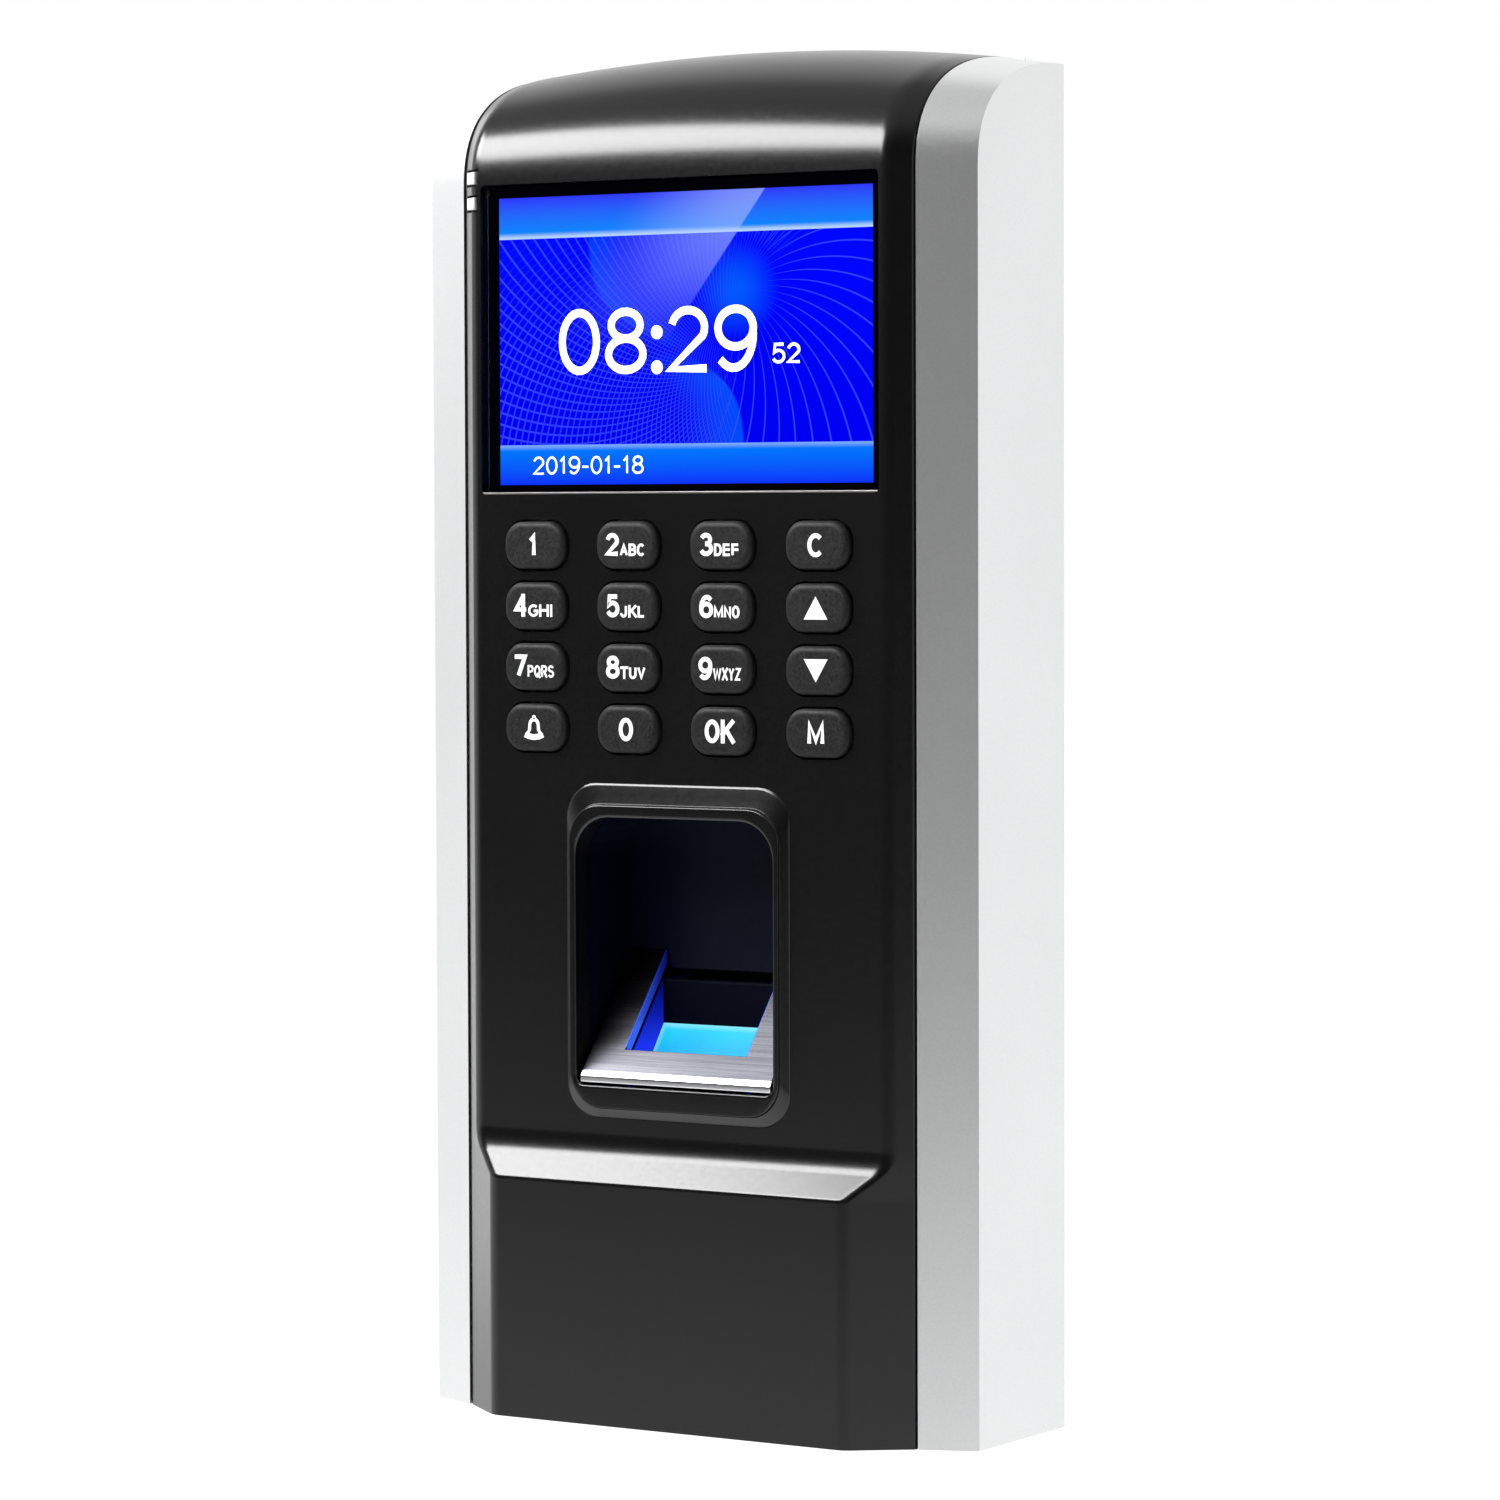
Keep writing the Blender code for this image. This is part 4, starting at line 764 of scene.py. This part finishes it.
def make_surround():
    """The raised rim of the finger recess: broad upper chamfer, narrow land, and a rounded drop into the mouth."""
    face, top = FACE_DEPTH, FACE_DEPTH + BOSS_PROUD
    mouth_radii = [MOUTH_RADIUS] * 2 + [1.2 * MM] * 2

    def ring(share):
        """Between the foot of the chamfers, share 0, and the land, share 1."""
        side = BOSS_HALF_X - BOSS_SIDE_CHAMFER * share
        return outline(side, BOSS_LOW + BOSS_LOW_CHAMFER * share, BOSS_HIGH - BOSS_TOP_CHAMFER * share, [BOSS_RADIUS] * 4)

    def mouth(grow):
        return outline(MOUTH_HALF_X + grow, MOUTH_LOW - grow, MOUTH_HIGH + grow, [r + grow for r in mouth_radii])

    rings = [(face - 0.3 * MM, ring(-0.04))]
    # (share of the chamfer's run, share of its rise): a short hollow, a long shallow slope, and a short round.
    slope = ((0.0, 0.02), (0.02, 0.045), (0.05, 0.09), (0.08, 0.135), (0.12, 0.17), (0.5, 0.415), (0.92, 0.67))
    slope += ((0.945, 0.72), (0.965, 0.79), (0.985, 0.87), (1.01, 0.945), (1.04, 0.985), (1.08, 1.0))
    rings += [(face + BOSS_PROUD * rise, ring(run)) for run, rise in slope]
    rings += [
        (top, mouth(0.45 * MM)),
        (top - 0.03 * MM, mouth(0.22 * MM)),
        (top - 0.12 * MM, mouth(0.08 * MM)),
        (top - 0.3 * MM, mouth(0.0)),
        (face - SHELL_WALL, mouth(0.0)),
    ]
    mesh = stacked("finger_surround", rings, False, False)
    place("finger_surround", mesh, BLACK, slot="black_plastic", smooth=50)


# ---------------------------------------------------------------- display


def plate(name, half_x, low, high, front, thickness, radius, edge):
    """A plate parallel to the front with rounded corners and a small rounded edge."""
    def loop(inset):
        return outline(half_x - inset, low + inset, high - inset, [radius] * 4, 5, 1)

    rings = [(front - thickness, loop(edge)), (front - thickness + edge, loop(0)), (front - edge, loop(0)), (front, loop(edge))]
    return stacked(name, rings)


# Letters and figures as strokes in a unit box. Each stroke is a run of points (x, y) and arcs
# (centre x, centre y, radius x, radius y, first angle, last angle); WIDTHS are relative to a plain letter.
GLYPHS = {
    "0": [[(0.5, 0.5, 0.5, 0.5, 0, 360)]],
    "1": [[(0.1, 0.76), (0.62, 1), (0.62, 0)]],
    "2": [[(0.5, 0.7, 0.47, 0.3, 165, -28), (0.0, 0.0), (1, 0)]],
    "3": [[(0.48, 0.76, 0.42, 0.24, 155, -90)], [(0.5, 0.27, 0.5, 0.27, 95, -155)]],
    "4": [[(1, 0.27), (0, 0.27), (0.74, 1)], [(0.74, 1), (0.74, 0)]],
    "5": [[(0.93, 1), (0.2, 1), (0.1, 0.53), (0.5, 0.33, 0.5, 0.33, 128, -152)]],
    "6": [[(0.5, 0.32, 0.5, 0.32, 0, 360)], [(0.56, 0.42, 0.56, 0.58, 50, 180)]],
    "7": [[(0, 1), (1, 1), (0.36, 0)]],
    "8": [[(0.5, 0.77, 0.42, 0.23, 0, 360)], [(0.5, 0.27, 0.5, 0.27, 0, 360)]],
    "9": [[(0.5, 0.68, 0.5, 0.32, 0, 360)], [(0.44, 0.58, 0.56, 0.58, 0, -130)]],
    "A": [[(0, 0), (0.5, 1), (1, 0)], [(0.18, 0.33), (0.82, 0.33)]],
    "B": [[(0.5, 0.53), (0.05, 0.53), (0.05, 1), (0.55, 0.765, 0.38, 0.235, 90, -90)], [(0.05, 0.53), (0.05, 0), (0.5, 0.265, 0.48, 0.265, -90, 90)]],
    "C": [[(0.53, 0.5, 0.53, 0.5, 48, 312)]],
    "D": [[(0.05, 0.5), (0.05, 1), (0.42, 0.5, 0.58, 0.5, 90, -90), (0.05, 0), (0.05, 0.5)]],
    "E": [[(0.95, 1), (0.05, 1), (0.05, 0), (1, 0)], [(0.05, 0.53), (0.88, 0.53)]],
    "F": [[(0.95, 1), (0.05, 1), (0.05, 0)], [(0.05, 0.52), (0.85, 0.52)]],
    "G": [[(0.53, 0.5, 0.53, 0.5, 48, 330), (1, 0.47), (0.58, 0.47)]],
    "H": [[(0.04, 0), (0.04, 1)], [(0.96, 0), (0.96, 1)], [(0.04, 0.53), (0.96, 0.53)]],
    "I": [[(0.5, 0), (0.5, 1)]],
    "J": [[(0.9, 1), (0.9, 0.3), (0.46, 0.3, 0.44, 0.3, 0, -175)]],
    "K": [[(0.05, 0), (0.05, 1)], [(0.95, 1), (0.05, 0.36)], [(0.36, 0.6), (1, 0)]],
    "L": [[(0.05, 1), (0.05, 0), (0.95, 0)]],
    "M": [[(0, 0), (0, 1), (0.5, 0.12), (1, 1), (1, 0)]],
    "N": [[(0.04, 0), (0.04, 1), (0.96, 0), (0.96, 1)]],
    "O": [[(0.5, 0.5, 0.52, 0.5, 0, 360)]],
    "P": [[(0.05, 0), (0.05, 1), (0.56, 0.74, 0.42, 0.26, 90, -90), (0.05, 0.48)]],
    "Q": [[(0.5, 0.5, 0.52, 0.5, 0, 360)], [(0.58, 0.25), (1, -0.04)]],
    "R": [[(0.05, 0), (0.05, 1), (0.56, 0.74, 0.42, 0.26, 90, -90), (0.05, 0.48)], [(0.5, 0.48), (1, 0)]],
    "S": [[(0.5, 0.76, 0.44, 0.24, 25, 270), (0.5, 0.26, 0.48, 0.26, 90, -155)]],
    "T": [[(0, 1), (1, 1)], [(0.5, 1), (0.5, 0)]],
    "U": [[(0.04, 1), (0.5, 0.34, 0.46, 0.34, 180, 360), (0.96, 1)]],
    "V": [[(0, 1), (0.5, 0), (1, 1)]],
    "W": [[(0, 1), (0.23, 0), (0.5, 0.9), (0.77, 0), (1, 1)]],
    "X": [[(0, 1), (1, 0)], [(0, 0), (1, 1)]],
    "Y": [[(0, 1), (0.5, 0.46), (1, 1)], [(0.5, 0.46), (0.5, 0)]],
    "Z": [[(0.03, 1), (1, 1), (0, 0), (1, 0)]],
    ":": [[(0.5, 0.02), (0.5, 0.05)], [(0.5, 0.62), (0.5, 0.65)]],
    "-": [[(0.1, 0.4), (0.9, 0.4)]],
}
WIDTHS = {"1": 0.62, "I": 0.12, "M": 1.3, "W": 1.6, ":": 0.1, "-": 0.55, "J": 0.8, "L": 0.85}


def stroke_points(stroke):
    """A stroke's points, with its arcs followed in small steps."""
    points = []
    for item in stroke:
        if len(item) == 2:
            points.append(Vector(item))
            continue
        x, y, rx, ry, first, last = item
        steps = max(4, round(abs(last - first) / 12))
        for step in range(steps + 1):
            angle = math.radians(first + (last - first) * step / steps)
            points.append(Vector((x + rx * math.cos(angle), y + ry * math.sin(angle))))
    return points


def text_mesh(name, words, height, middle, depth, width, weight, space):
    """Words as thin raised strokes on the plane at this depth, centred on (x, height above the base)."""
    half, count = weight / 2, len(words)
    unit = (width - weight * count - space * (count - 1)) / sum(WIDTHS.get(c, 1.0) for c in words)
    left = middle[0] - width / 2 + half
    low, tall = middle[1] - height / 2 + half, height - weight
    bm = bmesh.new()
    for letter in words:
        wide = WIDTHS.get(letter, 1.0) * unit
        for layer, stroke in enumerate(GLYPHS[letter]):
            line = [Vector((left + p.x * wide, low + p.y * tall)) for p in stroke_points(stroke)]
            line = [p for i, p in enumerate(line) if i == 0 or (p - line[i - 1]).length > 0.02 * MM]
            closed = (line[0] - line[-1]).length < 0.03 * MM
            if closed:
                line.pop()
            else:
                for end, inner in ((0, 1), (-1, -2)):
                    line[end] = line[end] + (line[end] - line[inner]).normalized() * half * (0.2 if len(line) > 2 else 1.0)
            thick = half
            if letter == ":":
                # A round dot, wider than a stroke.
                closed, thick, dot = True, 0.84 * half, (line[0] + line[-1]) / 2
                line = [dot + Vector((math.cos(math.pi * k / 8), math.sin(math.pi * k / 8))) * thick for k in range(16)]
            rows = []
            for i, point in enumerate(line):
                before = line[i - 1] if i or closed else None
                after = line[(i + 1) % len(line)] if i + 1 < len(line) or closed else None
                ways = [(b - a).normalized() for a, b in ((before, point), (point, after)) if a is not None and b is not None]
                way = sum(ways, Vector((0, 0))).normalized()
                side = Vector((-way.y, way.x))
                reach = thick / max(0.55, abs(way.dot(ways[0])))
                rim = (point + side * reach, point - side * reach)
                # Where strokes cross, one lies a hair above the other.
                tops = 0.02 + 0.006 * layer
                corners = [(rim[0], -0.01), (rim[0], tops), (rim[1], tops), (rim[1], -0.01)]
                rows.append([bm.verts.new((p.x, -depth - d * MM, p.y)) for p, d in corners])
            for i in range(len(rows) if closed else len(rows) - 1):
                here, there = rows[i], rows[(i + 1) % len(rows)]
                for k in range(3):
                    bm.faces.new((here[k], here[k + 1], there[k + 1], there[k]))
            if not closed:
                bm.faces.new(rows[0][::-1])
                bm.faces.new(rows[-1])
        left += wide + weight + space
    bmesh.ops.recalc_face_normals(bm, faces=bm.faces)
    return mesh_of(bm, name)


def make_display():
    mesh = plate("display_lens_cast", LENS_HALF_X, LENS_LOW, LENS_HIGH, LENS_FRONT, LENS_THICK, 0.5 * MM, 0.12 * MM)
    place("display_lens_cast", mesh, LENS, replaces=["display_lens"], slot="clear_lens", smooth=20)
    front = LENS_FRONT - LENS_THICK - GAP
    mesh = plate("display_lit_panel", LENS_HALF_X, LENS_LOW, LENS_HIGH, front, 2.4 * MM, 0.5 * MM, 0.1 * MM)
    place("display_lit_panel", mesh, SCREEN, replaces=["display_panel"], slot="display_blue", smooth=20)
    depth = front + 0.04 * MM
    words = (
        ("clock_digits", "08:29", 8.5 * MM, (-3.9 * MM, 139.2 * MM), 30.3 * MM, 1.05 * MM, 0.8 * MM),
        ("second_digits", "52", 2.6 * MM, (15.6 * MM, 137.2 * MM), 4.3 * MM, 0.38 * MM, 0.25 * MM),
        ("date_digits", "2019-01-18", 2.35 * MM, (-14.6 * MM, 123.35 * MM), 17.2 * MM, 0.27 * MM, 0.29 * MM),
    )
    for name, text, height, middle, width, weight, space in words:
        mesh = text_mesh(name, text, height, middle, depth, width, weight, space)
        place(name, mesh, DIGITS, slot="white_diffuser")


def make_window_highlight():
    """A painted highlight: a bright satin metal strip that stands in for the display window's lit lower edge, in the
    gap between the lens and the shell.
    """
    low, high = (Vector(end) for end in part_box("display_lens"))
    front, foot = low.y - 0.34 * MM, low.z + ORIGIN_HEIGHT
    corner = Vector((low.x - 0.15 * MM, front, foot - 0.27 * MM))
    edge = block("display_window_highlight", corner, Vector((high.x + 0.15 * MM, front + 0.6 * MM, foot - 0.02 * MM)))
    soften(place("display_window_highlight", edge, HIGHLIGHT_STRIP), 0.06 * MM, 2)


def make_status_lights():
    """Frosted bars that wrap from the chamfer on to the flat front, standing a hair proud."""
    left, right, rear = -33.2 * MM, -31.0 * MM, 22.5 * MM
    proud = 0.15 * MM
    seam_depth = SEAM_DEPTH + CHAMFER_SLOPE * (SEAM_X + left)
    profile = [(left, rear), (left, seam_depth + proud), (-crease_x(FACE_DEPTH), FACE_DEPTH + proud), (right, FACE_DEPTH + proud), (right, rear)]
    for name, low, high in STATUS_LIGHTS:
        bm = bmesh.new()
        grid = grid_faces(bm, [[Vector((x, -depth, z)) for x, depth in profile] for z in (low, high)], True)
        bm.faces.new(grid[0])
        bm.faces.new(grid[1])
        bar = place(name + "_bar", mesh_of(bm, name + "_bar"), FROSTED, replaces=[name], slot="white_diffuser")
        soften(bar, 0.3 * MM, 4, 20)


# ---------------------------------------------------------------- keypad


def arrow(name, up, depth, middle):
    """A solid triangle, pointing up or down."""
    half, tall = 1.75 * MM, 1.45 * MM
    sign = 1 if up else -1
    points = [Vector(p) for p in ((-half, -sign * tall), (half, -sign * tall), (0, sign * tall))]
    loop = [p + Vector(middle) for p in (points if up else points[::-1])]
    return stacked(name, [(depth - 0.015 * MM, loop), (depth + 0.015 * MM, loop)])


def bell(name, depth, middle):
    """A hand bell's outline with an open body, a rim below and a knob on top."""
    body = []
    for step in range(25):
        angle = math.pi * step / 24
        body.append((0.88 * math.cos(angle), 0.35 + 0.95 * math.sin(angle)))
    outer = [(1.55, -1.25), (1.35, -0.75), (0.95, -0.35)] + body + [(-0.95, -0.35), (-1.35, -0.75), (-1.55, -1.25)]
    outer += [(-0.9, -1.5), (0, -1.62), (0.9, -1.5)]
    inner = [(0.78, -0.75), (0.48, -0.35)] + [(0.44 * math.cos(math.pi * s / 12), 0.3 + 0.5 * math.sin(math.pi * s / 12)) for s in range(13)]
    inner += [(-0.48, -0.35), (-0.78, -0.75), (0, -0.9)]
    knob = [(0.28 * math.cos(math.pi * s / 8), 1.36 + 0.26 * math.sin(math.pi * s / 8)) for s in range(16)]
    curve = bpy.data.curves.new(name, "CURVE")
    curve.dimensions = "2D"
    curve.fill_mode = "BOTH"
    curve.extrude = 0.015 * MM
    for loop in (outer, inner, knob):
        spline = curve.splines.new("POLY")
        spline.points.add(len(loop) - 1)
        for point, (u, v) in zip(spline.points, loop):
            point.co = (u * MM, v * MM, 0, 1)
        spline.use_cyclic_u = True
    holder = bpy.data.objects.new(name, curve)
    bpy.context.scene.collection.objects.link(holder)
    bpy.context.view_layer.update()
    mesh = bpy.data.meshes.new_from_object(holder.evaluated_get(bpy.context.evaluated_depsgraph_get()))
    bpy.data.objects.remove(holder, do_unlink=True)
    for v in mesh.vertices:
        v.co = Vector((v.co.x + middle[0], -depth - v.co.z, v.co.y + middle[1]))
    return mesh


def make_keys():
    top = FACE_DEPTH + KEY_PROUD
    edge = 0.85 * MM
    for name, label, letters, x, height in key_places():
        def loop(inset, x=x, height=height):
            radius = max(KEY_RADIUS - inset * 0.7, 0.5 * MM)
            return [p + Vector((x, height)) for p in outline(KEY_HALF_X - inset, inset - KEY_HALF_Z, KEY_HALF_Z - inset, [radius] * 4, 8, 3)]

        rings = [(FACE_DEPTH - SHELL_WALL - GAP, loop(0)), (top - edge * 0.75, loop(0))]
        for step in range(1, 9):
            angle = math.pi / 2 * step / 8
            rings.append((top - edge * 0.75 * (1 - math.sin(angle)), loop(edge * (1 - math.cos(angle)))))
        key = place(name + "_cap", stacked(name + "_cap", rings), RUBBER, name, [name], "key_rubber", 35)
        depth = top + 0.02 * MM
        parts = []
        if label in ("up", "down"):
            parts.append(arrow(name + "_mark", label == "up", depth, (x, height)))
        elif label == "bell":
            parts.append(bell(name + "_mark", depth, (x, height)))
        elif letters:
            digit_width, gap = 2.1 * MM, 0.1 * MM
            letters_width = {3: 3.85 * MM, 4: 4.2 * MM}[len(letters)]
            left = x - (digit_width + gap + letters_width) / 2
            digit, tail = (left + digit_width / 2, height + 0.1 * MM), (left + digit_width + gap + letters_width / 2, height - 0.58 * MM)
            parts.append(text_mesh(name + "_digit", label, 2.95 * MM, digit, depth, digit_width, 0.58 * MM, 0))
            parts.append(text_mesh(name + "_letters", letters, 1.6 * MM, tail, depth, letters_width, (0.33 if len(letters) == 3 else 0.27) * MM, 0.08 * MM))
        else:
            width = {"1": 1.45, "C": 2.35, "0": 2.2, "OK": 4.5, "M": 2.5}[label] * MM
            parts.append(text_mesh(name + "_digit", label, 3.0 * MM, (x, height), depth, width, 0.58 * MM, 0.15 * MM))
        for mesh in parts:
            place(mesh.name, mesh, INK, name, slot="white_diffuser")


# ---------------------------------------------------------------- finger scanner


def frame_height(depth):
    return FRAME_FRONT[1] + (FRAME_FRONT[0] - depth) * math.tan(FRAME_ANGLE)


def make_scanner():
    front_depth, front_height = FRAME_FRONT
    drop = FRAME_THICK / math.cos(FRAME_ANGLE)
    rear = RECESS_BACK + GAP
    lip_bottom = front_height - FRAME_LIP
    lip_depth = front_depth - (drop - FRAME_LIP) / math.tan(FRAME_ANGLE)
    profile = [
        (-front_depth + 0.42 * MM, frame_height(front_depth - 0.42 * MM)),
        (-front_depth, front_height - 0.12 * MM),
        (-front_depth, lip_bottom),
        (-lip_depth, lip_bottom),
        (-rear, frame_height(rear) - drop),
        (-rear, frame_height(rear)),
    ]
    mesh = extrude_side("sensor_frame_plate", profile, FRAME_HALF_X)
    plate_piece = place("sensor_frame_plate", mesh, BRUSHED, replaces=["sensor_frame"], slot="brushed_steel")
    window = block("window", (-WINDOW_HALF_X, -WINDOW_FRONT, 30 * MM), (WINDOW_HALF_X, -10 * MM, 75 * MM))
    window.transform(Matrix.Translation((0, 0, -ORIGIN_HEIGHT)))
    cut(plate_piece, [window])
    soften(plate_piece, 0.14 * MM, 3, 30)

    glass_rear, glass_front = WELL_BACK + GAP, WELL_FRONT - GAP
    fall = (glass_front - glass_rear) * math.tan(GLASS_ANGLE)
    floor = WELL_FLOOR + GAP
    prism = [(-glass_front, floor), (-glass_rear, floor), (-glass_rear, GLASS_TOP), (-glass_front, GLASS_TOP - fall)]
    mesh = extrude_side("sensor_glass_prism", prism, WINDOW_HALF_X - GAP)
    prism_piece = place("sensor_glass_prism", mesh, GLASS, replaces=["sensor_glass"], slot="scanner_glass")
    soften(prism_piece, 0.12 * MM, 3, 30)


# ---------------------------------------------------------------- carried-over nodes


def dress(node, material):
    """Gives a CAD node its finish."""
    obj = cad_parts[node]
    for slot in obj.material_slots:
        slot.material = material


def dress_nodes():
    finishes = {
        REAR: ("rear_cover",),
        INNER: ("tamper_plunger",),
        NAVY: ("finger_guide",),
        WELL: ("sensor_housing",),
        BOARD: ("main_board", "keypad_board", "sensor_board", "card_antenna"),
        STEEL: ("wall_plate", "wall_lock_screw", "rear_screw_lower_left", "rear_screw_lower_right", "rear_screw_upper_left", "rear_screw_upper_right"),
        CELL: ("clock_battery", "speaker"),
        IVORY: ("network_header", "power_header", "lock_header", "reader_header", "tamper_switch"),
        RELAY: ("lock_relay",),
        SILICONE: ("keypad_mat",),
        DIFFUSER: ("display_backlight",),
    }
    for material, names in finishes.items():
        for name in names:
            dress(name, material)


def make_screws():
    """The rear cover's screws and the lock screw, each with a cross cut in its head."""
    for node, (axis, sign) in SCREWS.items():
        low, high = (Vector(end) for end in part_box(node))
        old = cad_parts[node]
        mesh = old.data.copy()
        mesh.transform(Matrix.Translation((0, 0, ORIGIN_HEIGHT)) @ old.matrix_world)
        screw = place(node + "_head", mesh, STEEL, replaces=[node], slot="zinc_steel")
        middle, head = (low + high) / 2, (high if sign > 0 else low)[axis]
        arms = []
        for long in {0, 1, 2} - {axis}:
            half = Vector((0.3 * MM,) * 3)
            half[long], half[axis] = 1.15 * MM, 0.7 * MM
            centre = middle.copy()
            centre[axis] = head
            arms.append(block("arm", centre - half, centre + half))
        cut(screw, arms)
        soften(screw, 0.06 * MM, 2, 35)


def make_header_pins():
    """Square pins standing in each wiring header."""
    for node, count in HEADER_PINS.items():
        low, high = (Vector(end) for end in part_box(node))
        pitch, half = (high.x - low.x - 1.6 * MM) / count, 0.28 * MM
        bm = bmesh.new()
        for k in range(count):
            x, z = low.x + 0.8 * MM + pitch * (k + 0.5), (low.z + high.z) / 2 + ORIGIN_HEIGHT
            near, far = low.y + 0.5 * MM, high.y - 0.6 * MM
            rings = [(near, half), (far - 0.5 * MM, half), (far, 0.4 * half)]
            rows = [[Vector((x + a * r, y, z + b * r)) for a, b in ((-1, -1), (1, -1), (1, 1), (-1, 1))] for y, r in rings]
            grid = grid_faces(bm, rows, True)
            bm.faces.new(grid[0])
            bm.faces.new(grid[-1])
        bmesh.ops.recalc_face_normals(bm, faces=bm.faces)
        place(node + "_pins", mesh_of(bm, node + "_pins"), GOLD)


# ---------------------------------------------------------------- stage, light and camera


def make_floor():
    """A pale floor below the terminal."""
    low = -ORIGIN_HEIGHT - 0.12
    bm = bmesh.new()
    corners = [(-3.0, -1.0), (4.0, -1.0), (4.0, 6.0), (-3.0, 6.0)]
    bm.faces.new([bm.verts.new((x, y, low)) for x, y in corners])
    floor = bpy.data.objects.new("floor", mesh_of(bm, "floor"))
    bpy.context.scene.collection.objects.link(floor)
    material, nodes, shader = new_material("pale_floor", Roughness=0.8, Specular_IOR_Level=0.2)
    cloud = nodes.noise(nodes.place(), 1.5, 2.0)
    nodes.feed(shader.inputs["Base Color"], nodes.mix(cloud, (0.90, 0.90, 0.90, 1), (0.92, 0.92, 0.92, 1)))
    shader.inputs["Emission Color"].default_value = (1, 1, 1, 1)
    shader.inputs["Emission Strength"].default_value = 0.45
    floor.data.materials.append(material)


def make_world():
    """A studio: bright behind and to both sides, dim in front."""
    world = bpy.data.worlds.new("studio")
    bpy.context.scene.world = world
    world.use_nodes = True
    nodes = Nodes(world.node_tree)
    background = world.node_tree.nodes["Background"]
    split = nodes.new("ShaderNodeSeparateXYZ")
    nodes.feed(split.inputs[0], nodes.new("ShaderNodeTexCoord").outputs["Generated"])
    x, y, z = split.outputs
    behind = nodes.span(y, -0.1, 0.5, 0.0, 1.0)
    beside = nodes.span(nodes.math("ABSOLUTE", x), 0.82, 0.97, 0.0, 0.8)
    above = nodes.span(z, 0.35, 0.8, 0.0, 0.5)
    light = nodes.math("MAXIMUM", nodes.math("MAXIMUM", behind, beside), nodes.math("ADD", above, 0.035))
    seen = nodes.new("ShaderNodeLightPath").outputs["Is Camera Ray"]
    nodes.feed(background.inputs["Strength"], nodes.math("MAXIMUM", light, seen))
    background.inputs["Color"].default_value = (1, 1, 1, 1)


def area_light(name, direction, distance, size, radiance, aim):
    """A rectangular softbox in a direction from the point it is aimed at."""
    light = bpy.data.lights.new(name, "AREA")
    light.shape = "RECTANGLE"
    light.size, light.size_y = size
    light.energy = radiance * math.pi * size[0] * size[1]
    obj = bpy.data.objects.new(name, light)
    bpy.context.scene.collection.objects.link(obj)
    away = Vector(direction).normalized()
    obj.location = Vector(aim) + away * distance
    obj.rotation_euler = (-away).to_track_quat("-Z", "Y").to_euler()


def make_camera():
    data = bpy.data.cameras.new("camera")
    data.lens = 131.1
    data.sensor_width = 36.0
    data.shift_x = -38.9 / 1500
    data.shift_y = -0.9 / 1500
    camera = bpy.data.objects.new("camera", data)
    bpy.context.scene.collection.objects.link(camera)
    azimuth, elevation, distance = math.radians(32.2), math.radians(2.37), 718.9 * MM
    away = Vector((math.sin(azimuth) * math.cos(elevation), -math.cos(azimuth) * math.cos(elevation), math.sin(elevation)))
    camera.location = Vector((-0.17 * MM, 0, 86.1 * MM - ORIGIN_HEIGHT)) + away * distance
    roll = Matrix.Rotation(math.radians(-0.16), 4, "Z")
    camera.rotation_euler = ((-away).to_track_quat("-Z", "Y").to_matrix().to_4x4() @ roll).to_euler()
    bpy.context.scene.camera = camera


bpy.context.scene.view_settings.view_transform = "Standard"
make_front_shell()
make_sides()
make_surround()
make_display()
make_status_lights()
make_window_highlight()
make_keys()
make_scanner()
dress_nodes()
make_screws()
make_header_pins()
make_floor()
make_world()
area_light("key_softbox", (-0.606, -0.606, 0.515), 0.3, (0.34, 0.115), 19.0, (0, -0.027, 0.076))
area_light("rim_softbox", (-0.92, 0.39, 0.05), 1.0, (0.4, 1.2), 1.4, (0, 0, 0))
make_camera()
